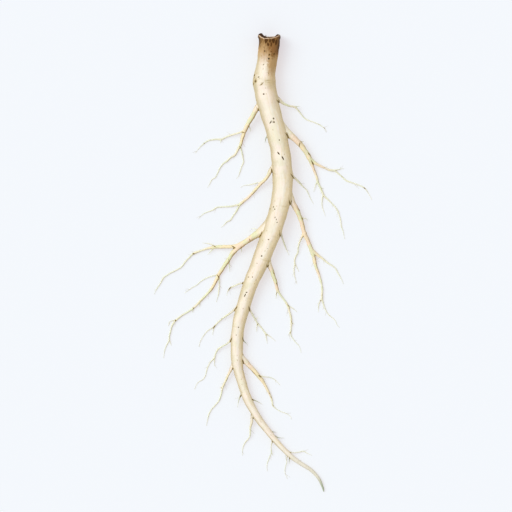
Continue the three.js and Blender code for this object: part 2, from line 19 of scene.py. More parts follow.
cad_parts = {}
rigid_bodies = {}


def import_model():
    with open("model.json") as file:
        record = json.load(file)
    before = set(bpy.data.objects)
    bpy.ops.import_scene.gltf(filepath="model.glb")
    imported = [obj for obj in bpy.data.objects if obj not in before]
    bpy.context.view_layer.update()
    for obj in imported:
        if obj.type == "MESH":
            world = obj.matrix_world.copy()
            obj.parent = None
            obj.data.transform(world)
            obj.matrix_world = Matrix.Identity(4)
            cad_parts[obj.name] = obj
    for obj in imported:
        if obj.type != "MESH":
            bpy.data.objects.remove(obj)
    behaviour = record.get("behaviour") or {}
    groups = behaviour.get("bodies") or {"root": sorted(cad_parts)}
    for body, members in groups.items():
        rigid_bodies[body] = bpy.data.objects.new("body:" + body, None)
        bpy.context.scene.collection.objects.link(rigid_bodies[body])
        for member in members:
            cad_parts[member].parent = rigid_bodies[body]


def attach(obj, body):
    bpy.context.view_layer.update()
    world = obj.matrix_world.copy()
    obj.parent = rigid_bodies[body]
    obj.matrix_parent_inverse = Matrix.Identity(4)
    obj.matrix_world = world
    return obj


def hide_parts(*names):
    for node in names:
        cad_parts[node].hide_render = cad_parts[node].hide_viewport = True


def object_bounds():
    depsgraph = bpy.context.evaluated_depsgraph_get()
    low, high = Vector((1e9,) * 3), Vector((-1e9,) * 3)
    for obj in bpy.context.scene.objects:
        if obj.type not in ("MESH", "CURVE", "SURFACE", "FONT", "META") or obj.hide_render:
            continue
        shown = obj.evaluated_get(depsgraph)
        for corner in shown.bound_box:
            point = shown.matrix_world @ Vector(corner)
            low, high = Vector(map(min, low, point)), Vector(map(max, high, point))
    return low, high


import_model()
CAD_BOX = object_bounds()

LOG = logging.getLogger("burdock_root")
Array = np.ndarray
Piece = bpy.types.Object
Triple = tuple[float, float, float]

NODE = "root"
BODY = "root"
MM = 0.001
BOX_LOW, BOX_HIGH = (np.array(corner) / MM for corner in CAD_BOX)
UP = np.array((0.0, 0.0, 1.0))

POINTS_AT_ONCE = 3000
EVENING_ROUNDS = 3
STRAND_SIDES = 5

# Rules of the solid, repeated so that the skin lies where the solid does.
THINNEST = 0.7
FLOOR_GAP = 0.2
UNDERSIDE_CLEARANCE = 0.7
PAD_DEPTH = 0.9
PAD_LENGTH = 24
PADS_Y = (180.5, 77.5, -86)
FALL_PER_DIAMETER = 9
SHORTEST_FALL = 12
THICK_SIDE_ROOT = 6
MIDDLE_SIDE_ROOT = 3.7

# Taproot from just under the crown to the tip, as (x, y, diameter).
TAPROOT_ROUTE = (
    (6.4, 218, 21.2), (5.6, 212.5, 20.9), (4.4, 202.5, 19.7), (2.7, 192.5, 20.6), (1.9, 187.5, 21.7),
    (1.4, 180.5, 24), (2.5, 172.5, 22.4), (4.4, 162.5, 22.4), (7, 152.5, 21.4), (9.7, 142.5, 20.7),
    (12.6, 132.5, 20.3), (15, 122.5, 20.1), (17, 112.5, 19.8), (18.2, 102.5, 20), (19.1, 92.5, 20),
    (19.6, 82.5, 20.2), (19.3, 72.5, 20.2), (17.9, 62.5, 19.3), (15.6, 52.5, 18.6), (12.7, 42.5, 18.2),
    (9.5, 32.5, 18.5), (5.8, 22.5, 17.9), (1.9, 12.5, 17.6), (-1.9, 2.5, 17), (-6.2, -7.5, 15.6),
    (-10.8, -17.5, 14.5), (-14.6, -27.5, 14.2), (-17.7, -37.5, 13.4), (-20.7, -47.5, 13.7),
    (-23.4, -57.5, 12.9), (-25.2, -67.5, 12.4), (-26, -77.5, 12.5), (-26.2, -87.5, 12.3),
    (-26.1, -97.5, 11.9), (-24.5, -107.5, 10.3), (-21.8, -117.5, 9.4), (-18.9, -127.5, 9.4),
    (-15, -137.5, 9.2), (-9.8, -147.5, 8.1), (-3.7, -157.5, 7.3), (4, -167.5, 6.8), (12, -177.5, 5.9),
    (21.2, -187.5, 5), (27.5, -193.5, 4.9), (35, -199.2, 4.2), (42, -203.7, 4), (47, -206.8, 3.7),
    (52, -211.5, 3.3), (56.5, -217.3, 2.8), (59, -223, 2.1), (60.3, -226.5, 1.7), (60.7, -229.1, 1),
)

# Torn edge of the crown, as (angle, y): 90 degrees is the top of the rim and 180 its left side.
CROWN_RIM = (
    (0, 227), (32, 226.7), (55, 225.4), (73, 224.3), (92, 224), (118, 223.8), (134, 225.1), (152, 226.5),
    (180, 227.6), (219, 229.7), (243, 226.9), (254, 226.5), (268, 226.2), (294, 226.2), (321, 228.3),
)

# Side roots, as the root that each grows from and its route of (x, y, diameter).
SIDE_ROUTES = {
    "left_nub": ("taproot", ((6.5, 128, 2.2), (3.3, 125, 1.6), (1.8, 119.5, 0.8))),
    "left1": ("taproot", (
        (1.5, 163.5, 6.2), (-6, 154.5, 5.2), (-10.5, 146, 4.6), (-15, 138.5, 4.3), (-18.5, 131, 3.8),
        (-20.7, 124.5, 3.3), (-22.7, 117.5, 2.9), (-24.7, 114, 2.4), (-28.5, 107.5, 2.2), (-33, 104.5, 2),
        (-36, 101.5, 2.1), (-40, 99, 1.6), (-42.5, 95.5, 1.5), (-46.5, 87.5, 1.2), (-48, 85, 1.2),
        (-51, 83.3, 1.1), (-53, 79.5, 1), (-55.5, 75, 0.8),
    )),
    "left1_upper": ("left1", (
        (-17.8, 132, 2.8), (-21, 130.8, 2.4), (-26, 129, 2.2), (-33, 127, 2), (-38, 125, 1.9),
        (-42, 123.2, 2.1), (-49, 123.2, 1.8), (-55, 122, 1.6), (-59, 119.5, 1.5), (-62.5, 116, 0.9),
        (-68, 109.5, 0.7),
    )),
    "left1_spur": ("left1_upper", ((-41.8, 123.4, 1.4), (-42.6, 119.8, 0.8))),
    "left1_lower": ("left1", (
        (-22.6, 119, 2.4), (-22.6, 115.5, 2), (-21.3, 111, 1.7), (-20.5, 105.5, 1.6), (-19.7, 100.5, 1.5),
        (-21.5, 95.5, 1.3), (-23.5, 90.5, 1.2), (-24.7, 86.5, 1), (-26.7, 84, 0.8),
    )),
    "left1_hair": ("left1", ((-14.5, 138, 1.4), (-13.2, 134.5, 1), (-12.4, 131, 0.7))),
    "left2": ("taproot", (
        (14, 100, 5), (8.8, 94, 4.1), (6.3, 89, 3.6), (3, 84, 3.2), (-2, 79, 3), (-6, 74.5, 3),
        (-10, 70, 2.8), (-14, 66, 2.7), (-18, 62.5, 2.6), (-22.5, 58.8, 2.7), (-24.3, 56, 2.1),
        (-26, 52.5, 1.9), (-28.5, 48.5, 1.7), (-31, 45, 1.6), (-33, 42.3, 1.5), (-36.5, 40.5, 1.5),
        (-39, 37.5, 1.2), (-42, 35, 0.9),
    )),
    "left2_upper": ("left2", (
        (-20.8, 59.8, 2.6), (-24.5, 58, 2.1), (-33, 56.4, 1.8), (-40, 55.8, 1.6), (-46.5, 55, 1.5),
        (-49.7, 52.7, 1.4), (-54, 51, 1.2), (-59, 49, 1.1), (-62, 46.5, 1), (-64.5, 44, 0.8),
    )),
    "left2_twig": ("left2", (
        (-1, 79.6, 2), (-4.5, 79.7, 1.5), (-9, 79, 1.2), (-14, 77.8, 1), (-19, 77, 0.9), (-22.5, 75, 0.7),
    )),
    "left3": ("taproot", (
        (8, 42, 9.2), (1, 34.3, 8.6), (-4.5, 29.7, 7.4), (-10, 25.8, 6.2), (-15, 22.2, 5.6), (-20, 19, 5.2),
        (-24, 15.8, 5.4), (-27.5, 12.5, 4.7), (-31, 8.5, 4.2), (-33.7, 4, 4), (-36.7, -0.5, 3.8),
        (-40.5, -6, 3.5), (-43.5, -10.5, 3.5), (-45.6, -14.5, 3.2), (-47.5, -19, 3.1), (-49.7, -23.5, 3),
        (-52.5, -27.5, 2.8), (-56, -31.5, 2.6), (-59.3, -35, 2.5), (-63, -39, 2.5), (-67, -43, 2.3),
        (-70, -46, 2.3), (-74.5, -49, 2), (-79, -51.5, 2), (-84, -55, 2), (-87.5, -58, 2.2),
        (-90.5, -62.5, 1.9), (-92.5, -67.5, 1.8), (-93.7, -73.5, 1.6), (-94, -77.5, 1.6), (-98.2, -87, 1),
        (-99.6, -95.5, 0.8),
    )),
    "left3_upper": ("left3", (
        (-21, 18.2, 4.6), (-27, 16.3, 3.8), (-34, 15.7, 3.5), (-41, 15.7, 3.5), (-48, 15.5, 3.2),
        (-54, 14.3, 2.6), (-59, 12.8, 2.2), (-64, 11.2, 2.2), (-68, 9.5, 2.5), (-71, 8, 2.1), (-74, 5, 1.8),
        (-77.5, 1, 1.8), (-80.5, -3, 1.7), (-83, -5.5, 1.6), (-88, -8, 1.6), (-93, -10.5, 1.5),
        (-96.5, -13, 1.5), (-99.5, -15, 1.9), (-101.7, -18.5, 1.4), (-104, -23, 1.3), (-106.5, -26.7, 1.1),
        (-109, -31.8, 0.8),
    )),
    "left3_top": ("left3", ((-3.5, 30.5, 1.8), (-7.5, 33.5, 1.2), (-11.5, 34, 0.7))),
    "left3_under": ("left3", ((-21.5, 17, 1.7), (-21.6, 13.5, 1.2), (-21.4, 10, 0.8))),
    "left3_twig_a": ("left3_upper", (
        (-48, 15.8, 1.6), (-52.5, 18.5, 1.2), (-57, 19.3, 1), (-60.5, 19.5, 0.7),
    )),
    "left3_twig_b": ("left3_upper", ((-49, 15, 1.8), (-51, 12.6, 1.4), (-53, 10.5, 1.1), (-55.5, 8, 0.8))),
    "left3_twig_c": ("left3", ((-34.8, 2.6, 2), (-33.9, -2, 1.5), (-33.6, -6, 1.2), (-33.5, -9.5, 0.9))),
    "left3_twig_d": ("left3", (
        (-44.5, -12.3, 1.9), (-48.5, -12.9, 1.4), (-53, -14, 1.3), (-57, -15.8, 1.2), (-61.5, -18.5, 1.1),
        (-66, -22.5, 1), (-71, -25.2, 0.9), (-76, -29, 0.8), (-78.5, -30.5, 0.7),
    )),
    "left3_twig_e": ("left3", (
        (-44.8, -12.5, 2.4), (-43.9, -18, 1.8), (-43.7, -24, 1.5), (-44.4, -30, 1.5), (-45.2, -34.5, 1),
        (-46.5, -39.5, 0.8),
    )),
    "left3_nub_a": ("left3", ((-63.2, -39.5, 1.4), (-63.6, -44.5, 0.8))),
    "left3_nub_b": ("left3", ((-69.8, -46, 1.3), (-70.6, -50, 0.8))),
    "left3_hair_a": ("left3", ((-87, -57.6, 1.4), (-93.5, -59.3, 0.8), (-94.7, -63.5, 0.7))),
    "left3_hair_b": ("left3", ((-93.8, -76.5, 1.3), (-92, -83, 0.7))),
    "left4": ("taproot", (
        (-14.5, -18.8, 2.9), (-20, -20.5, 2.2), (-24, -21.5, 2), (-29, -23.5, 1.8), (-33, -25.5, 1.9),
        (-35.5, -29.5, 1.2), (-36.5, -33, 0.8),
    )),
    "left5": ("taproot", (
        (-21.5, -41, 4), (-26.3, -45.3, 3), (-30, -48.5, 2.5), (-34, -51.5, 2.1), (-38.5, -54.5, 1.9),
        (-42, -57.5, 1.8), (-46, -61, 1.8), (-49.3, -65, 1.7), (-50, -68.5, 1.1), (-50.5, -72.5, 0.8),
    )),
    "left5_hair": ("left5", (
        (-48.6, -64.2, 1.5), (-55.4, -68.3, 1), (-59.2, -72.7, 0.9), (-62.3, -78, 0.8), (-64.5, -84.5, 0.7),
    )),
    "left6": ("taproot", (
        (-27.5, -70, 4.2), (-31.2, -75.6, 3), (-33.4, -78.7, 2.2), (-37, -82, 1.8), (-41, -84, 1.8),
        (-44.7, -86.3, 2.2), (-47.5, -91.5, 1.5), (-48.7, -95, 1.8), (-52.5, -99.5, 1.3),
        (-55.5, -105.5, 1.2), (-57.5, -112.5, 1), (-60, -116.8, 0.9), (-65.3, -120.5, 0.8),
        (-68.8, -127, 0.7),
    )),
    "left6_twig": ("left6", ((-48.4, -94, 1.5), (-48.6, -99, 1), (-48.5, -104, 0.7))),
    "left7": ("taproot", (
        (-28, -99, 4.6), (-31.2, -105, 3.4), (-33.2, -109.5, 2.8), (-35.5, -114.5, 2.5), (-37.9, -119.5, 2.3),
        (-40.3, -125, 2.3), (-41.7, -131.5, 1.8), (-44, -138, 1.7), (-47.5, -142.5, 1.4), (-51.7, -147, 1.4),
        (-54.3, -152, 1.4), (-55.7, -158.2, 1), (-56.7, -163.5, 0.8),
    )),
    "left7_nub": ("left7", ((-39.8, -124.3, 1.5), (-43.3, -125.4, 0.8))),
    "left8": ("taproot", (
        (-20, -129, 2.8), (-22.6, -133.5, 1.9), (-24.4, -138.5, 1.2), (-25.7, -144.8, 0.7),
    )),
    "left9": ("taproot", (
        (-8.7, -150, 4.4), (-11, -155, 3.3), (-11.2, -159, 2.7), (-12.4, -163.5, 2.3), (-12.8, -168.5, 2),
        (-13.2, -174.5, 1.6), (-15.5, -177.7, 1.4), (-18.7, -182, 1.2), (-20.3, -186.5, 1),
        (-20.9, -193, 0.8),
    )),
    "left10": ("taproot", (
        (11, -176, 2.8), (9.1, -179.7, 1.8), (8.3, -185, 1.2), (8.2, -191, 1.1), (6, -196, 1),
        (4.1, -202, 0.9), (4.2, -209, 0.7),
    )),
    "left10_spur": ("left10", ((8.1, -188.5, 1.2), (9.6, -193.5, 0.7))),
    "left11": ("taproot", (
        (25.5, -191, 2.6), (23.8, -194.8, 1.5), (23.6, -200.5, 1), (22.1, -205.5, 0.9), (21.9, -210, 0.8),
        (24.3, -216.5, 0.7),
    )),
    "left11_twig": ("taproot", ((27.3, -193.4, 2), (26.4, -197.2, 1.1), (26.3, -201.5, 0.7))),
    "right1": ("taproot", (
        (9, 168, 5.2), (15.5, 163, 3.7), (18.5, 160.5, 3), (22, 158.2, 2.6), (27, 156.5, 2.2),
        (31.5, 155.5, 2.3), (34.5, 153, 1.8), (37.5, 149.5, 1.6), (41, 145, 1.5), (45, 142.5, 1.4),
        (51, 140.5, 1.4), (56, 138.3, 1.3), (59.5, 136, 1.2), (62, 134, 1), (63.5, 131, 0.7),
    )),
    "right1_twig": ("right1", ((30.8, 155.8, 1.5), (37, 156.4, 0.8))),
    "right2": ("taproot", (
        (14.5, 139.5, 9), (21, 133.7, 7.6), (27, 128, 6.6), (32.3, 123, 6), (36.5, 119, 5.6), (39.7, 115, 5),
        (42.5, 111, 4.7), (45, 107, 4.7), (47.3, 102.5, 4.4), (48.7, 98.7, 3.2), (50.5, 94.3, 2.8),
        (52.5, 89, 2.6), (54, 84.5, 2.6), (55.3, 79.5, 2.3), (57.5, 74.5, 2.2), (59.5, 70, 2.1),
        (61.3, 66.5, 2.1), (65, 63, 1.7), (69, 59, 1.6), (72.5, 55, 1.6), (74.7, 51.7, 1.8), (76.5, 47, 1.4),
        (78, 41.5, 1.3), (78.4, 36.5, 1.3), (80, 31.5, 1), (82, 23.5, 0.7),
    )),
    "right2_upper": ("right2", (
        (46, 104.7, 4), (51.5, 100, 3.1), (56.5, 97, 2.7), (62, 94.5, 2.4), (67, 92.4, 2.4), (72, 91.7, 2.1),
        (75.5, 89, 1.9), (79.5, 85.5, 1.8), (83.5, 81.9, 1.8), (88, 80.2, 1.6), (93, 78.5, 1.5),
        (97.5, 77, 1.5), (101.5, 74.5, 1.7), (104, 71.5, 1), (107, 67, 0.8), (109, 63, 0.7),
    )),
    "right2_twig": ("right2", ((36, 119.8, 1.9), (41, 121.4, 0.8))),
    "right2_twig_a": ("right2_upper", ((69.5, 92, 1.9), (76, 93.3, 1.1), (81, 94.3, 0.7))),
    "right2_twig_b": ("right2", ((54.7, 82, 1.7), (52.2, 76, 1.1), (51, 71, 0.7))),
    "right2_twig_c": ("right2", (
        (60.3, 68.5, 1.8), (59, 61.5, 1.2), (59.2, 55.5, 1), (60.8, 51, 0.8), (62.5, 46.5, 0.7),
    )),
    "right2_nub": ("right2", ((57, 75.5, 1.5), (60.6, 74, 0.8))),
    "right3": ("taproot", (
        (21.5, 94, 4.6), (28, 88, 3.2), (32, 84, 2.5), (36, 80.2, 2.1), (40, 76, 1.6), (43.5, 72.5, 1.2),
        (46.8, 65.3, 0.9), (50.6, 58.6, 0.7),
    )),
    "right4": ("taproot", (
        (22, 75, 8.4), (27.3, 65.5, 6.6), (30.5, 58.5, 5.6), (33.5, 52.5, 5.1), (36.4, 46.5, 4.8),
        (38.5, 41, 4.4), (40.1, 34.5, 4.2), (42, 28, 4.2), (44.5, 22.5, 4), (47, 16.5, 4), (49.3, 10.5, 4.1),
        (50.7, 5, 3.5), (52, -0.5, 3.2), (54, -7, 2.9), (56, -13, 2.6), (57.9, -18.5, 2.3), (59, -24.5, 2.1),
        (59.2, -30.5, 2.1), (59.2, -35.5, 2.2), (59.7, -39, 1.9), (61, -43.5, 1.6), (63.5, -49, 1.3),
        (66.5, -53, 1), (70, -55.5, 0.9), (72.5, -58.5, 0.8), (74, -62.5, 0.8), (76.5, -65, 0.7),
    )),
    "right4_twig": ("right4", ((38, 43.8, 1.9), (42.5, 44.2, 1.1), (44.8, 41.7, 0.7))),
    "right4_left": ("right4", (
        (42, 29.5, 3.4), (39.6, 26.8, 2.6), (38, 23.5, 2.2), (36, 18.5, 1.9), (35, 13.5, 1.7),
        (34.8, 10, 1.7), (33, 6.5, 1.6), (31.8, 2.5, 1.7), (31.9, -2, 1.6), (31.1, -6.5, 1.3),
        (31.3, -12.5, 1.2), (32.5, -17, 1), (33.8, -21.5, 0.7),
    )),
    "right4_left_twig": ("right4_left", ((31.8, -0.5, 1.4), (34, -5.5, 1), (36, -9, 0.7))),
    "right4_right": ("right4", (
        (48.8, 12.5, 3.9), (54.3, 7.5, 2.9), (58.5, 4.5, 2.4), (62, 1.7, 2.1), (65.5, -1, 1.9),
        (69.5, -3.5, 1.7), (72.5, -6, 1.6), (74.7, -10, 1.4), (77, -14, 1.2), (79.3, -18.5, 1),
        (80.5, -21.5, 0.8),
    )),
    "right4_end": ("right4", ((59.3, -34.5, 2), (57.3, -38.5, 1.5), (55.8, -42, 1.2), (55.3, -49.5, 0.8))),
    "right5": ("taproot", (
        (13, 37, 4.2), (18, 28.5, 2.7), (20, 22.5, 2), (22, 16.5, 1.6), (24, 12, 1.2), (26, 7.5, 0.8),
    )),
    "right6": ("taproot", (
        (0, 9.5, 6.8), (5.3, 1, 5), (7.7, -5.5, 4.3), (10, -11.5, 4), (12, -18, 3.5), (13.8, -24.5, 3.1),
        (15, -28.8, 2.8), (18, -33.5, 2.2), (22, -39, 2.2), (25, -43.5, 2.5), (26.6, -48.5, 2.2),
        (27.8, -54.5, 2.2), (28.3, -60.5, 2.2), (27.9, -66.5, 1.8), (27.7, -72, 1.5), (31.6, -78.8, 0.9),
        (35.4, -82.6, 0.8), (37.1, -86.5, 0.7), (37.9, -90.3, 0.7),
    )),
    "right6_twig_a": ("right6", ((14.6, -27.5, 2), (13.3, -32, 1.2), (13, -36.3, 0.8))),
    "right6_twig_b": ("right6", ((24.6, -43, 1.7), (30, -46, 1.1), (34, -49.5, 0.7))),
    "right6_twig_c": ("right6", ((27.9, -68, 1.5), (25.4, -73.5, 0.7))),
    "right6_nub": ("right6", ((28.2, -60, 1.5), (30.8, -61.6, 0.8))),
    "right7": ("taproot", (
        (-18, -39.5, 3.8), (-13, -47.5, 2.4), (-10, -53, 2), (-7.2, -58, 1.8), (-5, -61.5, 1.9),
        (-1, -66, 1.7), (2.5, -71, 1.8), (7.3, -74.2, 1.2), (12.7, -78.8, 0.7),
    )),
    "right7_left": ("right7", ((2.2, -70.2, 1.6), (3.5, -76, 1.1), (4.3, -81, 0.7))),
    "right7_spur": ("right7", ((-7.8, -57.8, 1.5), (-5, -54.2, 0.7))),
    "right7_twig": ("right7", ((-5.3, -61, 1.5), (-6.2, -65, 1), (-6.4, -69.3, 0.7))),
    "right8": ("taproot", ((-23, -73, 2.4), (-19.4, -78, 1.3), (-15.2, -83, 0.7))),
    "right9": ("taproot", (
        (-24.5, -91.5, 6.8), (-19, -97.5, 5.4), (-15.5, -101.3, 4.8), (-11.5, -105.3, 4.3), (-7.6, -109.5, 4),
        (-4, -114, 4), (-1, -117.7, 3.3), (1.5, -121.5, 2.9), (3.6, -125.5, 2.7), (5.5, -129.3, 2.5),
        (7.8, -135, 2.2), (9.3, -139.5, 1.9), (10.2, -143.5, 1.7), (13, -146.3, 1), (18, -149.2, 0.9),
        (24, -151.5, 0.8), (27.5, -154.3, 0.7), (28.6, -157, 0.7),
    )),
    "right9_twig": ("right9", (
        (-3.4, -113.3, 2), (2, -114.5, 1.3), (7, -115.2, 1.1), (11.5, -117.3, 0.9), (17, -122.8, 0.7),
    )),
    "right10": ("taproot", ((-14, -135.5, 2.6), (-10, -137.3, 1.6), (-6.4, -138.8, 1.1), (-1, -141.9, 0.7))),
    "right11": ("taproot", ((5.5, -167.5, 2.4), (9.3, -169.3, 1.2), (12.8, -169.7, 0.7))),
    "right11_low": ("taproot", ((9.5, -173, 2.2), (16, -175.3, 1), (21, -175.5, 0.7))),
    "right12": ("taproot", (
        (23.8, -188.5, 2.6), (27.5, -189.8, 1.5), (31, -190.5, 1.1), (36.5, -189.7, 1.1), (40.6, -188.7, 1.2),
        (44.5, -191.2, 0.9), (49, -193, 0.7),
    )),
}

# Pores seen on the upper side, as (x, y, length, width, slant in degrees, strength).
PORES = (
    (0.7, 215, 0.9, 0.6, 0, 0.6), (1.8, 211, 0.8, 0.7, 0, 0.9), (5.8, 203.5, 0.9, 0.8, 0, 1),
    (10, 202.5, 1.2, 0.6, 0, 0.4), (0.5, 197.5, 1.1, 0.5, 40, 0.6), (5.6, 188.8, 1.2, 0.6, 90, 0.5),
    (-4.4, 185.1, 1.1, 0.7, 20, 0.65), (-7.3, 180.7, 0.9, 0.6, 80, 0.7), (-1.4, 177.8, 1, 0.4, 35, 0.45),
    (0.8, 168, 0.8, 0.7, 0, 0.9), (3.3, 168.2, 0.7, 0.5, 0, 0.5), (10.5, 143.7, 0.8, 0.7, 90, 0.9),
    (7.6, 140, 1.6, 0.5, 60, 0.9), (10.9, 140.1, 0.8, 0.8, 90, 0.9), (5, 132.2, 1.3, 0.5, 60, 0.4),
    (16.3, 122.2, 0.6, 0.6, 0, 0.8), (15.5, 109, 1.6, 0.6, -50, 0.95), (19.8, 104.2, 2, 0.6, -62, 0.9),
    (15, 63.5, 0.8, 0.5, 0, 0.35), (10.5, 55.5, 0.8, 0.6, 60, 0.7), (11.7, 53.2, 0.7, 0.6, 0, 0.7),
    (7, 53.5, 0.8, 0.5, 0, 0.6), (12, 45, 1, 0.5, 70, 0.6), (13.3, 43, 0.9, 0.5, 70, 0.6),
    (14, 40, 0.8, 0.6, 60, 0.6), (5.5, 23, 0.8, 0.6, 0, 0.7), (4.5, 14, 0.7, 0.5, 0, 0.5),
    (-1.3, 6.5, 0.8, 0.7, 60, 0.8), (-6, -0.8, 0.8, 0.6, 0, 0.5), (-14.5, -14.5, 0.8, 0.6, 0, 0.6),
    (-10.5, -14.5, 0.9, 0.6, 80, 0.6), (-7, -17.5, 0.9, 0.5, 60, 0.5), (-16.3, -29.8, 0.8, 0.6, 0, 0.8),
    (-18, -32.8, 1.5, 0.5, 60, 0.9), (-24.5, -64.8, 0.7, 0.6, 0, 0.7), (-26.7, -72.5, 0.7, 0.5, 0, 0.6),
    (-21, -122, 0.8, 0.5, 0, 0.4),
)

# Olive brown streaks and flecks under the crown's rim, as (x, y, length, width, slant in degrees, strength).
CROWN_STREAKS = (
    (3.4, 221.2, 3, 1.9, -78, 1), (5, 217.9, 3.2, 1.2, -72, 0.95), (7.2, 221.2, 2.2, 1.2, 85, 0.9),
    (10.4, 221.2, 2.4, 2, 80, 1), (8.2, 218, 2.8, 1, 84, 0.8), (5.9, 215, 1.9, 0.7, -80, 0.5),
    (-1.6, 220.4, 2.6, 0.8, 85, 0.4), (0.8, 218.6, 2.6, 0.7, -80, 0.4), (13, 220, 3, 1.4, 82, 0.85),
    (6.3, 207.3, 1.1, 0.8, 60, 0.75), (11, 208.1, 1.1, 0.8, 45, 0.8), (8.6, 210.4, 1.3, 0.5, -60, 0.6),
    (9.4, 205.6, 1.2, 0.4, 30, 0.5), (-1.4, 206.2, 1, 0.5, -60, 0.4), (-2.4, 216, 1.3, 0.5, 80, 0.4),
    (-7.5, 181, 1.8, 1.3, 80, 0.6), (-9.4, 178.4, 1.4, 0.5, 78, 0.6), (-8.6, 187, 1.3, 0.5, 75, 0.7),
    (12.9, 180.2, 2.2, 0.7, 82, 0.28), (-1.6, 177.7, 1.7, 0.6, 35, 0.6), (4.4, 181.9, 4.6, 0.5, 0, 0.38),
    (5.4, 179.5, 4.6, 0.5, -3, 0.34),
)

# Dark lines in the forks and at the knots of the side roots, as (x, y, x, y, half width, strength). In the
# forks they are painted crease shade, at the knots the knots' own dark colour.
FORK_MARKS = (
    (-6.7, 162, -7.2, 158, 0.6, 0.7), (-5, 152.4, -3.9, 149, 0.9, 1), (15, 167, 16.3, 164.6, 0.6, 0.6),
    (13.6, 162.4, 17, 158.6, 0.8, 1), (17, 158.6, 22.5, 156.3, 0.5, 0.8),
    (21.6, 129.8, 25.4, 125.6, 0.7, 0.85), (19.6, 146, 20.4, 144, 0.5, 0.5),
    (-21, 130.9, -18.8, 129.8, 0.6, 0.8), (36.8, 121, 39.5, 120.3, 0.5, 0.7),
    (37, 120.5, 36, 115.6, 0.6, 0.9), (45.3, 109.5, 46.2, 108, 0.7, 0.8), (48.6, 101.5, 50.2, 98.6, 0.8, 1),
    (8.2, 93.5, 9.4, 88.4, 0.9, 1), (27.3, 89, 30.2, 85.1, 0.7, 1), (25, 66.5, 26.9, 58.2, 0.9, 1),
    (35.6, 53.6, 36.4, 52.2, 0.6, 0.8), (38.6, 44.6, 39.6, 43.2, 0.6, 0.8), (2, 33.5, -1, 29, 0.5, 0.7),
    (-1, 29, -2.8, 26.4, 1, 0.95), (16, 33.5, 17, 26.5, 0.8, 1), (6, 7, 5, -1, 0.7, 0.6),
    (3.8, -1.6, 4.2, -4.6, 0.9, 1), (10.3, -10, 10.8, -11.2, 0.5, 0.7), (13.3, -20.4, 13.8, -21.8, 0.5, 0.7),
    (13.9, -29.6, 13.4, -32, 0.5, 0.7), (24.4, -42.2, 26, -44, 0.6, 0.7), (28.5, -58.4, 28.8, -60, 0.5, 0.6),
    (27.6, -69.4, 27.2, -71, 0.5, 0.6), (-13.8, 23.8, -13, 22, 0.6, 0.7), (-31, 16.5, -28.4, 15, 0.7, 0.9),
    (-29, 15, -31, 12.6, 0.5, 0.8), (-50, 17, -47.6, 15.6, 0.6, 0.8), (-70.8, 9.5, -68, 8.2, 0.8, 0.8),
    (-34.3, 3.4, -33.8, 0.4, 0.6, 0.8), (-45.6, -12.4, -44.2, -15, 0.7, 0.9),
    (-70, -45.2, -69, -46.8, 0.6, 0.8), (-19.2, -17, -20.8, -22, 0.7, 0.9),
    (-34.4, -27.6, -32.6, -25, 0.8, 0.8), (-28.4, -47.2, -26, -44.6, 0.8, 1),
    (-41.8, -56.4, -41, -55.2, 0.5, 0.6), (-50, -66, -48.4, -63.4, 0.8, 0.8),
    (-15, -42, -13.3, -47.8, 0.8, 1), (-6, -62.4, -4.8, -61.2, 0.6, 0.7), (3.4, -73, 4.6, -72, 0.5, 0.6),
    (-30.5, -74.5, -32.6, -78.8, 0.9, 1), (-20.5, -74.5, -19.7, -78, 0.7, 0.9),
    (-23.4, -93.6, -23.1, -94.6, 0.6, 0.7), (-20.2, -91.6, -19.8, -92.6, 0.5, 0.7),
    (-20.5, -97.5, -19.5, -101, 0.9, 1), (-18, -102.5, -8, -111.5, 0.5, 0.8),
    (-3.4, -113.2, -2.6, -114.4, 0.7, 0.9), (6, -130.4, 6.7, -131.6, 0.5, 0.7),
    (7.7, -134.2, 8.3, -135.4, 0.5, 0.7), (9.7, -142.4, 10.3, -143.6, 0.5, 0.7),
    (-29.9, -106, -30.5, -107, 0.9, 0.8), (-21.9, -132.8, -22.5, -134.2, 0.8, 1),
    (-11, -136.8, -10, -137.4, 0.8, 0.9), (-11.8, -151.8, -12.2, -153.2, 0.6, 0.8),
    (-10.2, -155.4, -9.8, -156.6, 0.6, 0.7), (7, -168.2, 8, -168.9, 0.6, 0.8),
    (12, -173.3, 13, -173.8, 0.6, 0.7), (9, -178.6, 9.6, -179.6, 0.6, 0.9),
    (16.6, -180, 17.6, -181, 0.5, 0.7), (26.2, -189.8, 27, -190.3, 0.6, 0.8),
    (26.3, -194.4, 26.7, -195.8, 0.7, 1), (40.2, -200.8, 41, -201.4, 0.5, 0.6),
    (42.8, -205.2, 44.2, -205.8, 0.5, 0.7), (51.2, -209.6, 51.9, -210.5, 0.6, 0.7),
    (-59.3, 119.9, -58.6, 119, 0.6, 0.8), (-23.2, 116, -22.8, 115, 0.7, 0.9), (60.4, 136, 62.8, 134, 0.8, 1),
    (101, 74.9, 102, 74, 0.7, 0.8), (-88.2, -57.2, -86.9, -58.9, 0.8, 0.9),
    (57.2, -37.6, 57.9, -38.5, 0.6, 0.7),
)


class Girth(Enum):
    """How thick a root is at its base: its tube's sides, the gap between rings in mm, and its stride."""

    TAPROOT = (104, 0.9, 4)
    THICK = (20, 0.9, 2)
    MIDDLE = (14, 1.0, 2)
    THIN = (10, 1.1, 2)

    @property
    def sides(self) -> int:
        """Sides of the tube."""
        return self.value[0]

    @property
    def step(self) -> float:
        """Gap between two rings, in mm."""
        return self.value[1]

    @property
    def stride(self) -> int:
        """Rings that one straight piece spans where points are read against the root."""
        return self.value[2]

    @classmethod
    def of(cls, diameter: float) -> "Girth":
        """The girth of a side root whose base has this diameter."""
        if diameter > THICK_SIDE_ROOT:
            return cls.THICK
        return cls.MIDDLE if diameter > MIDDLE_SIDE_ROOT else cls.THIN


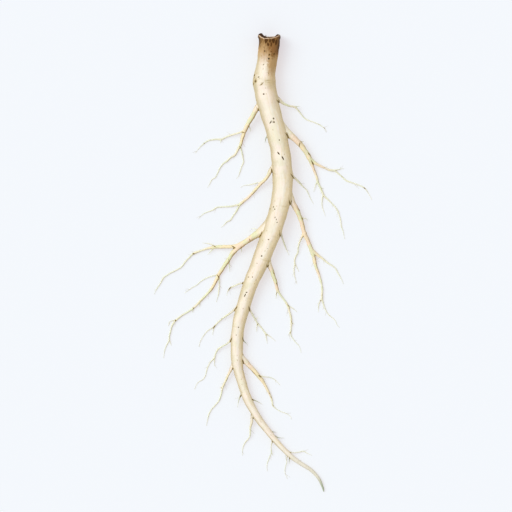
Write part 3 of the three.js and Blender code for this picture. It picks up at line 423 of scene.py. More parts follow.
@dataclass(frozen=True)
class Growth:
    """Uneven growth: each pattern's share of the radius, and its turn in radians per mm along Y."""

    oval: float
    oval_turn: float
    furrow: float
    furrow_turn: float
    ring: float
    ring_turn: float

    def at(self, angle: Array, y: Array) -> Array:
        """How far the skin stands from a true round, as a factor on the radius.

        Args:
            angle: angle round the root, in radians.
            y: place along Y, in mm.

        Returns:
            The factor, near 1.
        """
        oval = self.oval * np.cos(2 * angle + y * self.oval_turn)
        furrow = self.furrow * np.cos(3 * angle - y * self.furrow_turn)
        ring = self.ring * np.sin(np.sin(angle) + y * self.ring_turn)
        return 1 + oval + furrow + ring


TAPROOT_GROWTH = Growth(0.022, 0.021, 0.014, 0.034, 0.012, 0.31)
SIDE_ROOT_GROWTH = Growth(0.05, 0.7, 0.03, 0.4, 0.02, 0.9)
EVEN_GROWTH = Growth(0, 0, 0, 0, 0, 0)


def eased(share: Array) -> Array:
    """Eases from 0 to 1 with flat ends."""
    held = np.clip(share, 0, 1)
    return held * held * (3 - 2 * held)


@dataclass(frozen=True)
class Ease:
    """An eased change from 0 to 1: where it starts, and how far it takes, negative where it falls."""

    start: float
    span: float

    def at(self, values: Array) -> Array:
        """How far the change has come at each value."""
        return eased((values - self.start) / self.span)


@dataclass(frozen=True)
class Bulge:
    """A smooth bulge: its height, the place of its middle, and its width."""

    height: float
    middle: float
    width: float

    def at(self, places: Array) -> Array:
        """Height of the bulge at each place."""
        return self.height * np.exp(-(((places - self.middle) / self.width) ** 2))


def unit(vectors: Array) -> Array:
    """The vectors at length 1."""
    lengths = np.linalg.norm(vectors, axis=-1, keepdims=True)
    return vectors / np.maximum(lengths, 1e-9)


def dots(first: Array, second: Array) -> Array:
    """The dot product of each pair of rows."""
    return np.einsum("ij,ij->i", first, second)


def run_along(points: Array) -> Array:
    """The way along a line of points to each of them, from 0 at the first."""
    return np.concatenate(([0.0], np.cumsum(np.linalg.norm(np.diff(points, axis=0), axis=1))))


def ring_angles(sides: int) -> Array:
    """The angles of a ring's points in radians, from the lowest point round."""
    return np.arange(sides) * 2 * np.pi / sides - np.pi / 2


def half_turns(angles: Array) -> Array:
    """The same angles, each as a number from minus half a turn to half a turn."""
    return (angles + np.pi) % (2 * np.pi) - np.pi


@dataclass(frozen=True)
class Pattern:
    """A layer of smooth relief: its height, its size along each axis, and the seed that moves it."""

    height: float
    sizes: Triple
    seed: float
    shift: float = 31.7

    def at(self, places: Array) -> Array:
        """Height of the relief at each place."""
        moved = places / np.array(self.sizes) + self.seed * self.shift
        return self.height * np.array([noise.noise(place) for place in moved.tolist()])


def layered(patterns: tuple[Pattern, ...], places: Array) -> Array:
    """The height of several layers of relief together."""
    return sum(pattern.at(places) for pattern in patterns)


def underside_gap(y: Array) -> Array:
    """Gap under the taproot at a place along Y: negative where a pad presses it into the surface."""
    press = np.max([np.exp(-(((y - pad) / (PAD_LENGTH / 2)) ** 4)) for pad in PADS_Y], axis=0)
    return UNDERSIDE_CLEARANCE - (UNDERSIDE_CLEARANCE + PAD_DEPTH) * press


def cut_counts(spans: float) -> tuple[int, int]:
    """Two numbers of cuts whose product is at least the number of spans, and close to it."""
    first = max(1, round(math.sqrt(spans)))
    return first, max(1, math.ceil(spans / first))


def through(points: Array, fineness: int = 14) -> tuple[Array, Array]:
    """A smooth line through points, as a centripetal Catmull-Rom spline.

    Args:
        points: the points, of shape (n, 3).
        fineness: steps between two points.

    Returns:
        The line's places, and for each its place in the list of points, such as 2.5 halfway past the third.
    """
    padded = np.vstack((2 * points[0] - points[1], points, 2 * points[-1] - points[-2]))
    shares = np.linspace(0, 1, fineness, endpoint=False)
    weights = shares[:, None]
    places, order = [], []
    for i in range(len(points) - 1):
        before, start, end, after = padded[i : i + 4]
        steps = ((before, start), (start, end), (end, after))
        gaps = [max(math.sqrt(np.linalg.norm(right - left)), 1e-4) for left, right in steps]
        leave = (start - before) / gaps[0] - (end - before) / (gaps[0] + gaps[1]) + (end - start) / gaps[1]
        arrive = (end - start) / gaps[1] - (after - start) / (gaps[1] + gaps[2]) + (after - end) / gaps[2]
        leave, arrive = leave * gaps[1], arrive * gaps[1]
        square = -3 * start + 3 * end - 2 * leave - arrive
        cube = 2 * start - 2 * end + leave + arrive
        places.append(start + leave * weights + square * weights**2 + cube * weights**3)
        order.append(i + shares)
    places.append(points[-1:])
    order.append(np.array([len(points) - 1.0]))
    return np.vstack(places), np.concatenate(order)


@dataclass
class Reading:
    """What a root's line says of some points: one row or value for each."""

    gap: Array
    out: Array
    along: Array
    angle: Array
    radius: Array


@dataclass
class RootLine:
    """One root's middle line from its base to its tip, with its radius at each station, in mm."""

    name: str
    parent: str
    girth: Girth
    growth: Growth
    centres: Array
    radii: Array
    run: Array = field(init=False)
    tangents: Array = field(init=False)
    across: Array = field(init=False)
    ups: Array = field(init=False)

    def __post_init__(self) -> None:
        """Works out the way along the line, and the directions across it."""
        self.run = run_along(self.centres)
        self.tangents = unit(np.gradient(self.centres, self.run, axis=0))
        self.across = unit(np.cross(self.tangents, UP))
        self.ups = np.cross(self.across, self.tangents)

    @property
    def length(self) -> float:
        """Length from the base to the tip."""
        return float(self.run[-1])

    def rings(self) -> Array:
        """A ring of skin points round each station, of shape (stations, sides, 3)."""
        angles = ring_angles(self.girth.sides)
        factors = self.growth.at(angles[None, :], self.centres[:, 1, None])
        reach = (self.radii[:, None] * factors)[:, :, None]
        sideways = self.across[:, None, :] * np.cos(angles)[None, :, None]
        upwards = self.ups[:, None, :] * np.sin(angles)[None, :, None]
        return self.centres[:, None, :] + reach * (sideways + upwards)

    def near(self, points: Array, margin: float) -> Array:
        """Numbers of the points that lie inside the root's box, widened by a margin."""
        reach = self.radii.max() + margin
        low, high = self.centres.min(0) - reach, self.centres.max(0) + reach
        return np.flatnonzero(((points > low) & (points < high)).all(1))

    def read(self, points: Array) -> Reading:
        """Reads where points lie against this root.

        Args:
            points: places of shape (n, 3), in mm.

        Returns:
            The gap to the skin, the way out, the place along and round the root, and the radius there.
        """
        batches = np.array_split(points, len(points) // POINTS_AT_ONCE + 1)
        parts = [self._read_few(batch) for batch in batches]
        return Reading(*(np.concatenate(values) for values in zip(*parts)))

    def _read_few(self, points: Array) -> tuple[Array, ...]:
        """Reads a few points at a time, so that the working arrays stay small.

        Args:
            points: places of shape (n, 3).

        Returns:
            The values of a Reading, in its order.
        """
        last = len(self.centres) - 1
        knots = np.unique(np.append(np.arange(0, last + 1, self.girth.stride), last))
        starts, spans = self.centres[knots[:-1]], np.diff(self.centres[knots], axis=0)
        offset = points[:, None, :] - starts[None, :, :]
        share = np.clip(np.einsum("ijk,jk->ij", offset, spans) / dots(spans, spans), 0, 1)
        distance = np.linalg.norm(offset - share[:, :, None] * spans[None, :, :], axis=2)
        piece = distance.argmin(1)
        row = np.arange(len(points))
        part = share[row, piece]
        low, high = knots[piece], knots[piece + 1]
        foot = starts[piece] + part[:, None] * spans[piece]
        away = points - foot
        across = unit(self.across[low] * (1 - part)[:, None] + self.across[high] * part[:, None])
        ups = unit(self.ups[low] * (1 - part)[:, None] + self.ups[high] * part[:, None])
        angle = np.arctan2(dots(away, ups), dots(away, across))
        radius = self.radii[low] * (1 - part) + self.radii[high] * part
        along = self.run[low] * (1 - part) + self.run[high] * part
        gap = distance[row, piece] - radius * self.growth.at(angle, foot[:, 1])
        return gap, unit(away), along, angle, radius


def lay_line(name: str, parent: str, points: Array, diameters: Array, girth: Girth,
             growth: Growth, extra_spans: int = 0) -> RootLine:
    """Lays a root's line with even stations, whose number the tube's cuts can make.

    Args:
        name: the root's name.
        parent: name of the root that it grows from.
        points: waypoints of shape (n, 3), in mm.
        diameters: diameter at each waypoint.
        girth: sides and step of its tube.
        growth: its uneven growth.
        extra_spans: spans that the tube needs beyond this line's own.

    Returns:
        The line.
    """
    places, order = through(points)
    run = run_along(places)
    first, second = cut_counts(max(2.0, run[-1] / girth.step) + extra_spans)
    spans = first * second - extra_spans
    stops = np.linspace(0, run[-1], spans + 1)
    centres = np.column_stack([np.interp(stops, run, places[:, axis]) for axis in range(3)])
    radii = np.interp(np.interp(stops, run, order), np.arange(len(diameters)), diameters) / 2
    for _ in range(EVENING_ROUNDS):
        radii[1:-1] = (radii[:-2] + 2 * radii[1:-1] + radii[2:]) / 4
    return RootLine(name, parent, girth, growth, centres, radii)


def ringed_tube(name: str, rings: Array, start: Array, end: Array) -> Piece:
    """Cuts a cylinder into rings and lays them out as a closed tube.

    Args:
        name: the piece's name.
        rings: ring points in mm, of shape (rings, sides, 3). The number of spans is a product of two cuts.
        start: place of the pole before the first ring.
        end: place of the pole past the last ring.

    Returns:
        The tube.
    """
    spans, sides = len(rings) - 1, rings.shape[1]
    bpy.ops.object.select_all(action="DESELECT")
    bpy.ops.mesh.primitive_cylinder_add(vertices=sides, radius=1, depth=1, end_fill_type="TRIFAN")
    tube = bpy.context.object
    tube.name = tube.data.name = name
    bpy.ops.object.mode_set(mode="EDIT")
    bpy.ops.mesh.select_mode(type="EDGE")
    for cuts in cut_counts(spans):
        bpy.ops.mesh.select_all(action="DESELECT")
        grid = bmesh.from_edit_mesh(tube.data)
        for edge in grid.edges:
            edge.select_set(abs(edge.verts[0].co.z - edge.verts[1].co.z) > 1e-6)
        bmesh.update_edit_mesh(tube.data)
        if cuts > 1:
            bpy.ops.mesh.subdivide(number_cuts=cuts - 1)
    bpy.ops.object.mode_set(mode="OBJECT")
    places = read_vectors(tube.data, "co")
    row = np.rint((0.5 - places[:, 2]) * spans).astype(int)
    turn = (np.arctan2(places[:, 1], places[:, 0]) - np.pi / 2) / (2 * np.pi)
    column = np.rint(turn * sides).astype(int) % sides
    laid = rings[row, column]
    pole = np.hypot(places[:, 0], places[:, 1]) < 0.5
    laid[pole & (row == 0)] = start
    laid[pole & (row == spans)] = end
    write_places(tube.data, laid * MM)
    return tube


def read_vectors(mesh: bpy.types.Mesh, key: str) -> Array:
    """What the mesh holds for each of its points, such as "co" or "normal", of shape (n, 3)."""
    flat = np.zeros(len(mesh.vertices) * 3)
    mesh.vertices.foreach_get(key, flat)
    return flat.reshape(-1, 3)


def write_places(mesh: bpy.types.Mesh, places: Array) -> None:
    """Moves the mesh's points to places, in the mesh's own unit."""
    mesh.vertices.foreach_set("co", places.astype(np.float32).ravel())
    mesh.update()


def write_reading(mesh: bpy.types.Mesh, name: str, values: Array) -> None:
    """Stores a number or a vector on each point of the mesh, for its finish to read.

    Args:
        mesh: the mesh.
        name: the reading's name.
        values: one number for each point, or one row of three.
    """
    kind, key = ("FLOAT", "value") if values.ndim == 1 else ("FLOAT_VECTOR", "vector")
    reading = mesh.attributes.new(name, kind, "POINT")
    reading.data.foreach_set(key, values.astype(np.float32).ravel())


def select(*pieces: Piece) -> None:
    """Selects these pieces alone, the first as the active one."""
    bpy.ops.object.select_all(action="DESELECT")
    for piece in pieces:
        piece.select_set(True)
    bpy.context.view_layer.objects.active = pieces[0]


def apply_modifier(piece: Piece, kind: str, **settings: object) -> None:
    """Adds a modifier to a piece and applies it.

    Args:
        piece: the piece.
        kind: the modifier's type.
        settings: its settings by name.
    """
    select(piece)
    bpy.ops.object.modifier_add(type=kind)
    modifier = piece.modifiers[-1]
    for name, value in settings.items():
        setattr(modifier, name, value)
    bpy.ops.object.modifier_apply(modifier=modifier.name)


def join(pieces: list[Piece], name: str) -> Piece:
    """Joins loose pieces into one named piece."""
    select(*pieces)
    bpy.ops.object.join()
    pieces[0].name = pieces[0].data.name = name
    return pieces[0]


def finish_piece(piece: Piece, material: bpy.types.Material) -> Piece:
    """Shades a piece smooth, dresses it and ties it to the body."""
    select(piece)
    bpy.ops.object.shade_smooth()
    piece.data.materials.clear()
    piece.data.materials.append(material)
    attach(piece, BODY)
    LOG.info("%s: %d points, %d faces", piece.name, len(piece.data.vertices), len(piece.data.polygons))
    return piece


def tapered_tube(name: str, path: Array, radius: float, end_share: float) -> Piece:
    """A thin closed tube along a path.

    Args:
        name: the tube's name.
        path: places of its rings in mm.
        radius: its radius at the first ring.
        end_share: the share of that radius left at the last.

    Returns:
        The tube.
    """
    radii = radius * np.linspace(1, end_share, len(path))
    line = RootLine(name, "", Girth.THIN, EVEN_GROWTH, path, radii)
    rings = line.rings()[:, :: Girth.THIN.sides // STRAND_SIDES]
    return ringed_tube(name, rings, path[0], path[-1] + line.tangents[-1] * radii[-1])


@dataclass
class Crown:
    """The torn crown at the top of the taproot, a shallow cup with a ragged rim, in mm.

    Shares run from 0 at the heart of the cup to 1 at its rim, and from 0 at the rim to 1 at the collar's end.
    """

    centre_x: float = 6.3
    diameter: float = 22.0
    wall_shares: tuple[float, ...] = (
        0.06, 0.14, 0.22, 0.3, 0.38, 0.47, 0.56, 0.63, 0.69, 0.74, 0.79, 0.84, 0.88, 0.92, 0.96, 0.985,
    )
    cup_profile: tuple[tuple[float, float], ...] = (
        (0, 2.4), (0.3, 3.2), (0.56, 4.4), (0.74, 3.6), (0.86, 1.2), (0.95, 0), (1, 0),
    )
    heart_level: float = 224.2
    heart_depth: float = 2.4
    highest_y: float = 229.4
    height: float = field(init=False)
    angles: Array = field(init=False)
    rim: Array = field(init=False)
    spokes: Array = field(init=False)
    levels_out: Ease = Ease(0, 0.8)
    teeth: tuple[Pattern, ...] = (Pattern(0.5, (0.16, 0.16, 1), 1.0), Pattern(0.4, (0.07, 0.07, 1), 2.0))
    teeth_grow: Ease = Ease(0.55, 0.4)
    strands: Pattern = Pattern(0.5, (1.1, 1.1, 5), 3.0)
    strand_place: tuple[float, float] = (9, 11)
    strands_start: Ease = Ease(0, 0.3)
    strands_end: Ease = Ease(0.97, -0.15)
    collar_rows: int = 14
    ridges: tuple[Pattern, ...] = (
        Pattern(0.26, (0.1, 0.1, 0.6), 4.0), Pattern(0.26, (0.24, 0.24, 0.16), 9.0),
    )
    ridges_start: Ease = Ease(0, 0.12)
    ridge_power: float = 0.8
    flare: Bulge = Bulge(0.45, 2, 1.4)
    waist: Bulge = Bulge(-0.15, 5, 1.6)

    @property
    def rows_count(self) -> int:
        """Rings that the crown adds before the taproot's own."""
        return len(self.wall_shares) + self.collar_rows

    def rim_at(self, angle: Array) -> Array:
        """Y of the torn rim at angles round it, in radians."""
        degrees = np.degrees(angle) % 360
        places = np.array([place for place, _ in CROWN_RIM] + [360.0])
        levels = np.array([level for _, level in CROWN_RIM] + [CROWN_RIM[0][1]])
        after = np.clip(np.searchsorted(places, degrees, side="right"), 1, len(places) - 1)
        share = eased((degrees - places[after - 1]) / (places[after] - places[after - 1]))
        return levels[after - 1] * (1 - share) + levels[after] * share

    def rows(self, first_ring: Array, height: float) -> tuple[Array, Array]:
        """Rings from the heart of the cup, over the rim and down the collar.

        Args:
            first_ring: the taproot's first ring, which the collar meets.
            height: height of the crown's middle.

        Returns:
            The rings, and the place of the heart.
        """
        self.height = height
        self.angles = ring_angles(len(first_ring))
        self.rim = self.rim_at(np.pi - self.angles)
        self.spokes = np.column_stack((np.cos(self.angles), np.sin(self.angles)))
        cup = self._cup()
        heart = np.array((self.centre_x, self.heart_level - self.heart_depth, height))
        return np.array(cup + self._collar(cup[-1], first_ring)), heart

    def _spread(self, depth: float, radius: float = 1.0) -> Array:
        """Where the relief's patterns are read: round the crown, and at one depth."""
        return np.column_stack((self.spokes * radius, np.full(len(self.spokes), depth)))

    def _cup(self) -> list[Array]:
        """Rings from the heart of the cup out to its torn rim.

        Returns:
            The rings, with the rim last.
        """
        factors = TAPROOT_GROWTH.at(self.angles, self.rim_at(np.array([np.pi / 2])))
        teeth = layered(self.teeth, self._spread(0.0))
        shares = np.array(self.wall_shares + (1.0,))
        depths = np.interp(shares, *zip(*self.cup_profile))
        around, inward = self.strand_place
        rings = []
        for share, depth in zip(shares, depths):
            torn = np.minimum(self.rim + teeth * self.teeth_grow.at(share), self.highest_y)
            settled = self.levels_out.at(share)
            edge = torn * settled + self.heart_level * (1 - settled)
            held = self.strands_start.at(share) * self.strands_end.at(share)
            fray = self.strands.at(self._spread(share * inward, around)) * held
            rings.append(self._ring(share * self.diameter / 2 * factors, edge - depth + fray))
        return rings

    def _collar(self, rim_ring: Array, first_ring: Array) -> list[Array]:
        """Rings from under the rim down to the taproot's first ring.

        Args:
            rim_ring: the rim's ring.
            first_ring: the taproot's first ring.

        Returns:
            The rings between the two.
        """
        middle = np.array((self.centre_x, 0, self.height))
        rings = []
        for step in range(1, self.collar_rows):
            part = step / self.collar_rows
            down = rim_ring * (1 - part) + first_ring * part
            held = (1 - part) ** self.ridge_power * self.ridges_start.at(part)
            behind = self.rim - down[:, 1]
            rise = layered(self.ridges, self._spread(part)) * held
            rise += self.flare.at(behind)
            rise += self.waist.at(behind)
            outward = unit((down - middle) * (1, 0, 1))
            rings.append(down + outward * rise[:, None])
        return rings

    def _ring(self, reach: Array, level: Array) -> Array:
        """One ring of the crown from its radii and its places along Y."""
        x, z = self.centre_x - reach * np.cos(self.angles), self.height + reach * np.sin(self.angles)
        return np.column_stack((x, level, z))


@dataclass
class SkinReading:
    """What the two nearest related roots say of each skin point."""

    own: Array
    other: Array
    first: Reading
    second: Reading

    @property
    def on_taproot(self) -> Array:
        """Which points lie on the taproot."""
        return self.own == 0

    @property
    def upward(self) -> Array:
        """Where each point lies on its root: 1 on top, 0 at the sides and -1 underneath."""
        return np.sin(self.first.angle)

    @property
    def lead(self) -> Array:
        """How much farther off the second root's skin is than the first's."""
        return self.second.gap - self.first.gap


@dataclass
class MarkField:
    """Each skin point's place against the nearest of many marks, in shares of that mark's size."""

    count: int
    far: float = 4.0
    reach: float = 2.2
    reach_fade: float = 0.4
    clear_fade: float = 0.5

    def __post_init__(self) -> None:
        """Starts with no mark near any of the points."""
        self.offset = np.full((self.count, 2), self.far)
        self.away = np.full(self.count, self.far)
        self.next_away = np.full(self.count, self.far)
        self.level = np.zeros(self.count)

    def add(self, along: Array, across: Array, level: float, allowed: Array) -> None:
        """Adds one mark.

        Args:
            along: each point's way along the mark, where 1 is its end.
            across: its way across the mark, where 1 is its edge.
            level: the mark's strength.
            allowed: which points may carry it.
        """
        away = np.where(allowed, np.hypot(along, across), self.far)
        closer = away < self.away
        self.next_away = np.where(closer, self.away, np.minimum(self.next_away, away))
        self.offset[closer] = np.column_stack((along, across))[closer]
        self.level[closer] = level
        self.away = np.minimum(self.away, away)

    def add_rows(self, points: Array, rows: tuple, allowed: Array, spread: float) -> None:
        """Adds marks that are seen from above.

        Args:
            points: skin points in mm.
            rows: marks as (x, y, length, width, slant in degrees, strength).
            allowed: which points may carry them.
            spread: how far a mark's halo reaches, as a share of its size.
        """
        for x, y, length, width, slant, level in rows:
            turn = math.radians(slant)
            dx, dy = points[:, 0] - x, points[:, 1] - y
            along = (dx * math.cos(turn) + dy * math.sin(turn)) / (length * spread)
            across = (dy * math.cos(turn) - dx * math.sin(turn)) / (width * spread)
            self.add(along, across, level, allowed)

    def depth(self) -> Array:
        """How deep each point lies in its mark: the mark's strength at its middle, and 0 outside."""
        return self.level * np.clip(1 - self.away, 0, 1)

    def write(self, mesh: bpy.types.Mesh, name: str, apart: float = 0.2) -> None:
        """Stores the way to the nearest mark, and its strength where no other mark is as near.

        Args:
            mesh: the skin's mesh.
            name: the reading's name.
            apart: how much nearer than the next mark a mark has to be to show, in shares of its size.
        """
        clear = np.clip((self.next_away - self.away - apart) / self.clear_fade, 0, 1)
        near = np.clip((self.reach - self.away) / self.reach_fade, 0, 1)
        write_reading(mesh, name, np.column_stack((self.offset, self.level * clear * near)))


@dataclass
class RootSkin:
    """The taproot, crown and side roots as one grown skin. Sizes are in mm."""

    crown: Crown = field(default_factory=Crown)
    lines: list[RootLine] = field(default_factory=list)

    # Side roots.
    row_shift: float = 7.3
    sway: tuple[Pattern, ...] = (Pattern(0.3, (6.5, 1, 1), 5.0), Pattern(0.12, (2.6, 1, 1), 6.0))
    sway_starts: Ease = Ease(3, 6)
    knobs: tuple[Pattern, ...] = (Pattern(0.07, (3.4, 1, 1), 7.0), Pattern(0.042, (1.5, 1, 1), 8.0))
    knobs_start: Ease = Ease(0, 4)
    slimmest: float = 0.74
    fullness: Ease = Ease(1.0, 2.4)
    tip_taper: float = 9.0
    longest_taper_share: float = 0.45
    tip_share: float = 0.02
    tip_power: float = 0.55
    thinnest_tip: float = 0.16

    # Growing together.
    merge_gap: float = 0.01
    shortest_edge: float = 0.005
    far: float = 9.0
    known_within: float = 8.9
    fork_share: float = 0.3
    smallest_fork: float = 0.6
    largest_fork: float = 2.2
    fork_fade: Ease = Ease(1.25, -0.5)
    fork_rounds: int = 4
    least_slope: float = 0.15
    crown_zone_y: float = 214.0

    # Relief. Each layer is at its full height from its radius on.
    place_shift: float = 43.0
    lumps: Pattern = Pattern(0.34, (7, 7, 10), 11.0)
    lump_radius: float = 8.0
    bumps: Pattern = Pattern(0.16, (3, 3, 4.5), 14.0)
    bump_radius: float = 5.0
    wrinkles: Pattern = Pattern(0.1, (1.7, 1.7, 16), 12.0)
    grit: Pattern = Pattern(0.05, (1.2, 1.2, 1.6), 13.0)
    grit_radius: float = 2.0
    thick: Ease = Ease(1.2, 4)
    calm_crown: Ease = Ease(218.0, -6)
    ring_depth: float = 0.2
    pit_depth: float = 0.35
    box_inset: Triple = (0.01, 0.01, 0.0)

    # Rings.
    ring_count: int = 22
    ring_seed: int = 41
    ring_end: float = 470.0
    ring_fade: float = 0.5
    collar_rings: tuple[Bulge, ...] = (Bulge(0.7, 38.5, 0.6), Bulge(0.5, 40.4, 0.6), Bulge(0.4, 36.2, 0.6))

    # Marks.
    mark_spread: float = 1.9
    lowest_mark: float = -0.1
    lowest_line: float = -0.35
    line_width: tuple[float, float] = (0.6, 0.4)
    line_high: Ease = Ease(0.35, 0.4)
    line_fade: float = 0.7
    streaks_apart: float = -0.12
    pore_count: int = 190
    pore_seed: int = 17
    pore_places: tuple[float, float] = (6, 440)
    pore_turns: tuple[float, float] = (-1.06, 0.06)

    # Readings for the finish.
    # The side away from the light, which the finish paints in shade.
    shaded_way: Triple = (0.88, -0.47, 0.0)
    root_blend: float = 8.0
    beyond_crown: float = 200.0
    cup_faces: Ease = Ease(0.4, -0.3)
    # Painted crease shade in the crotch of each fork.
    crease_share: float = 0.45
    crease_width: float = 0.15
    faintest_crease: float = 0.01
    crotch: Ease = Ease(-0.1, 0.6)

    def build(self) -> Piece:
        """Builds the whole skin.

        Returns:
            The skin's object, with its readings for the finish.
        """
        self.lay_lines()
        tubes = self.tubes()
        LOG.info("laid %d roots", len(tubes))
        skin = self.grow_together(tubes)
        places = read_vectors(skin.data, "co") / MM
        places = self.round_forks(skin.data, places)
        reading = self.survey(places)
        places = self.relieve(skin.data, places, reading)
        write_places(skin.data, places * MM)
        self.write_readings(skin.data, places, reading)
        return skin

    def lay_lines(self) -> None:
        """Lays the taproot's line and then each side root's, from its parent's height down to the surface."""
        x, y, diameter = np.array(TAPROOT_ROUTE).T
        under = diameter / 2 * TAPROOT_GROWTH.at(np.full(len(y), -np.pi / 2), y)
        points = np.column_stack((x, y, under + underside_gap(y)))
        extra = self.crown.rows_count
        taproot = lay_line("taproot", "", points, diameter, Girth.TAPROOT, TAPROOT_GROWTH, extra)
        self.lines = [taproot]
        for seed, (name, (parent, route)) in enumerate(SIDE_ROUTES.items()):
            self.lines.append(self._side_line(name, self.line(parent), np.array(route, float), seed))

    def line(self, name: str) -> RootLine:
        """The root of this name."""
        return next(line for line in self.lines if line.name == name)

    @property
    def parents(self) -> list[int]:
        """Number of the root that each root grows from, and -1 for the taproot."""
        names = [line.name for line in self.lines]
        return [names.index(line.parent) if line.parent else -1 for line in self.lines]

    def _side_line(self, name: str, parent: RootLine, route: Array, seed: int) -> RootLine:
        """Lays one side root.

        Args:
            name: its name.
            parent: the root that it grows from.
            route: waypoints as rows of x, y and diameter.
            seed: number that sets its small knobs and wander.

        Returns:
            Its line.
        """
        diameters = np.maximum(THINNEST, route[:, 2])
        away = np.linalg.norm(parent.centres[:, :2] - route[0, :2], axis=1)
        start_height = parent.centres[away.argmin(), 2]
        fall = max(SHORTEST_FALL, FALL_PER_DIAMETER * route[0, 2])
        run = run_along(route[:, :2])
        lowest = diameters / 2 + FLOOR_GAP
        share = eased(run / fall)
        heights = np.maximum(start_height, lowest) * (1 - share) + lowest * share
        points = np.column_stack((route[:, :2], heights))
        line = lay_line(name, parent.name, points, diameters, Girth.of(route[0, 2]), SIDE_ROOT_GROWTH)
        count = len(line.run)
        way = np.column_stack((line.run, np.full(count, seed * self.row_shift), np.zeros(count)))
        sway = layered(self.sway, way) * self.sway_starts.at(line.run)
        line.centres += line.across * sway[:, None]
        line.radii *= 1 + layered(self.knobs, way) * self.knobs_start.at(line.run)
        line.radii *= self.slimmest + (1 - self.slimmest) * self.fullness.at(2 * line.radii)
        left = line.length - line.run
        taper = min(self.tip_taper, line.length * self.longest_taper_share)
        tapered = line.radii * np.clip(left / taper, self.tip_share, 1) ** self.tip_power
        line.radii = np.maximum(self.thinnest_tip, tapered)
        line.centres[:, 2] = np.maximum(line.centres[:, 2], line.radii + FLOOR_GAP)
        return RootLine(name, parent.name, line.girth, line.growth, line.centres, line.radii)

    def tubes(self) -> list[Piece]:
        """A closed tube for each root, the taproot first."""
        tubes = []
        for line in self.lines:
            rings = line.rings()
            start = line.centres[0]
            end = line.centres[-1] + line.tangents[-1] * line.radii[-1]
            if line.girth is Girth.TAPROOT:
                rise = (self.crown.diameter / 2) - line.radii[0]
                rows, start = self.crown.rows(rings[0], float(line.centres[0, 2] + rise))
                rings = np.concatenate((rows, rings))
            tubes.append(ringed_tube(line.name, rings, start, end))
        return tubes

    def grow_together(self, tubes: list[Piece]) -> Piece:
        """Joins the tubes into one closed skin without inner walls.

        Args:
            tubes: the taproot's tube and then the side roots'.

        Returns:
            The skin.
        """
        skin, *others = tubes
        skin.name = skin.data.name = "skin"
        side_roots = bpy.data.collections.new("side_roots")
        bpy.context.scene.collection.children.link(side_roots)
        for tube in others:
            for home in tube.users_collection:
                home.objects.unlink(tube)
            side_roots.objects.link(tube)
        apply_modifier(skin, "BOOLEAN", operation="UNION", operand_type="COLLECTION", collection=side_roots,
                       solver="MANIFOLD")
        for tube in others:
            bpy.data.objects.remove(tube)
        bpy.data.collections.remove(side_roots)
        apply_modifier(skin, "TRIANGULATE", min_vertices=5)
        select(skin)
        bpy.ops.object.mode_set(mode="EDIT")
        bpy.ops.mesh.select_all(action="SELECT")
        bpy.ops.mesh.remove_doubles(threshold=self.merge_gap * MM)
        bpy.ops.mesh.dissolve_degenerate(threshold=self.shortest_edge * MM)
        bpy.ops.mesh.normals_make_consistent(inside=False)
        bpy.ops.object.mode_set(mode="OBJECT")
        return skin

    def survey(self, points: Array) -> SkinReading:
        """Reads which root each skin point belongs to, and which related root comes next.

        Args:
            points: skin points in mm.

        Returns:
            The reading of both.
        """
        gaps = np.full((len(self.lines), len(points)), self.far, np.float32)
        for number, line in enumerate(self.lines):
            inside = line.near(points, self.largest_fork + 1)
            if len(inside):
                gaps[number, inside] = line.read(points[inside]).gap
        own = gaps.argmin(0)
        masked = np.where(self._related()[own].T, gaps, self.far)
        other = masked.argmin(0)
        first, second = self._read_each(points, own), self._read_each(points, other)
        second.gap = np.where(masked[other, np.arange(len(points))] < self.far, second.gap, self.far)
        return SkinReading(own, other, first, second)

    def _related(self) -> Array:
        """Which roots grow one from the other, as a square table."""
        table = np.zeros((len(self.lines), len(self.lines)), bool)
        for child, parent in enumerate(self.parents[1:], start=1):
            table[child, parent] = table[parent, child] = True
        return table

    def _read_each(self, points: Array, numbers: Array) -> Reading:
        """Reads each point against the root with its number."""
        count = len(points)
        shapes = {"gap": count, "out": (count, 3), "along": count, "angle": count, "radius": count}
        whole = Reading(**{name: np.zeros(shape) for name, shape in shapes.items()})
        for number in np.unique(numbers):
            chosen = np.flatnonzero(numbers == number)
            part = self.lines[number].read(points[chosen])
            for name in shapes:
                getattr(whole, name)[chosen] = getattr(part, name)
        return whole

    def _fork_sizes(self, reading: SkinReading) -> Array:
        """Rounding of the fork between each point's two roots."""
        bases = np.array([line.radii[0] * 2 for line in self.lines])
        sizes = np.clip(bases * self.fork_share, self.smallest_fork, self.largest_fork)
        child = np.where(np.array(self.parents)[reading.own] == reading.other, reading.own, reading.other)
        return sizes[child]

    def round_forks(self, mesh: bpy.types.Mesh, points: Array) -> Array:
        """Rounds the skin where two roots meet: its points are evened out and set on the grown form.

        Args:
            mesh: the skin's mesh, for its edges.
            points: its points in mm.

        Returns:
            The points in their new places.
        """
        reading = self.survey(points)
        size = self._fork_sizes(reading)
        at_fork = reading.lead < self.fork_fade.start * size
        chosen = np.flatnonzero(at_fork & (points[:, 1] < self.crown_zone_y))
        weight = self.fork_fade.at(reading.lead[chosen] / size[chosen])
        edges = np.zeros(len(mesh.edges) * 2, int)
        mesh.edges.foreach_get("vertices", edges)
        starts, ends = edges.reshape(-1, 2).T
        count = len(points)
        degree = np.bincount(edges, minlength=count)
        points = points.copy()
        for _ in range(self.fork_rounds):
            for _ in range(EVENING_ROUNDS):
                total = np.column_stack([
                    np.bincount(starts, values[ends], count) + np.bincount(ends, values[starts], count)
                    for values in points.T
                ])
                middle = total[chosen] / degree[chosen, None]
                points[chosen] += 0.5 * weight[:, None] * (middle - points[chosen])
            points[chosen] = self._onto_form(points[chosen])
        LOG.info("rounded %d points at the forks", len(chosen))
        return points

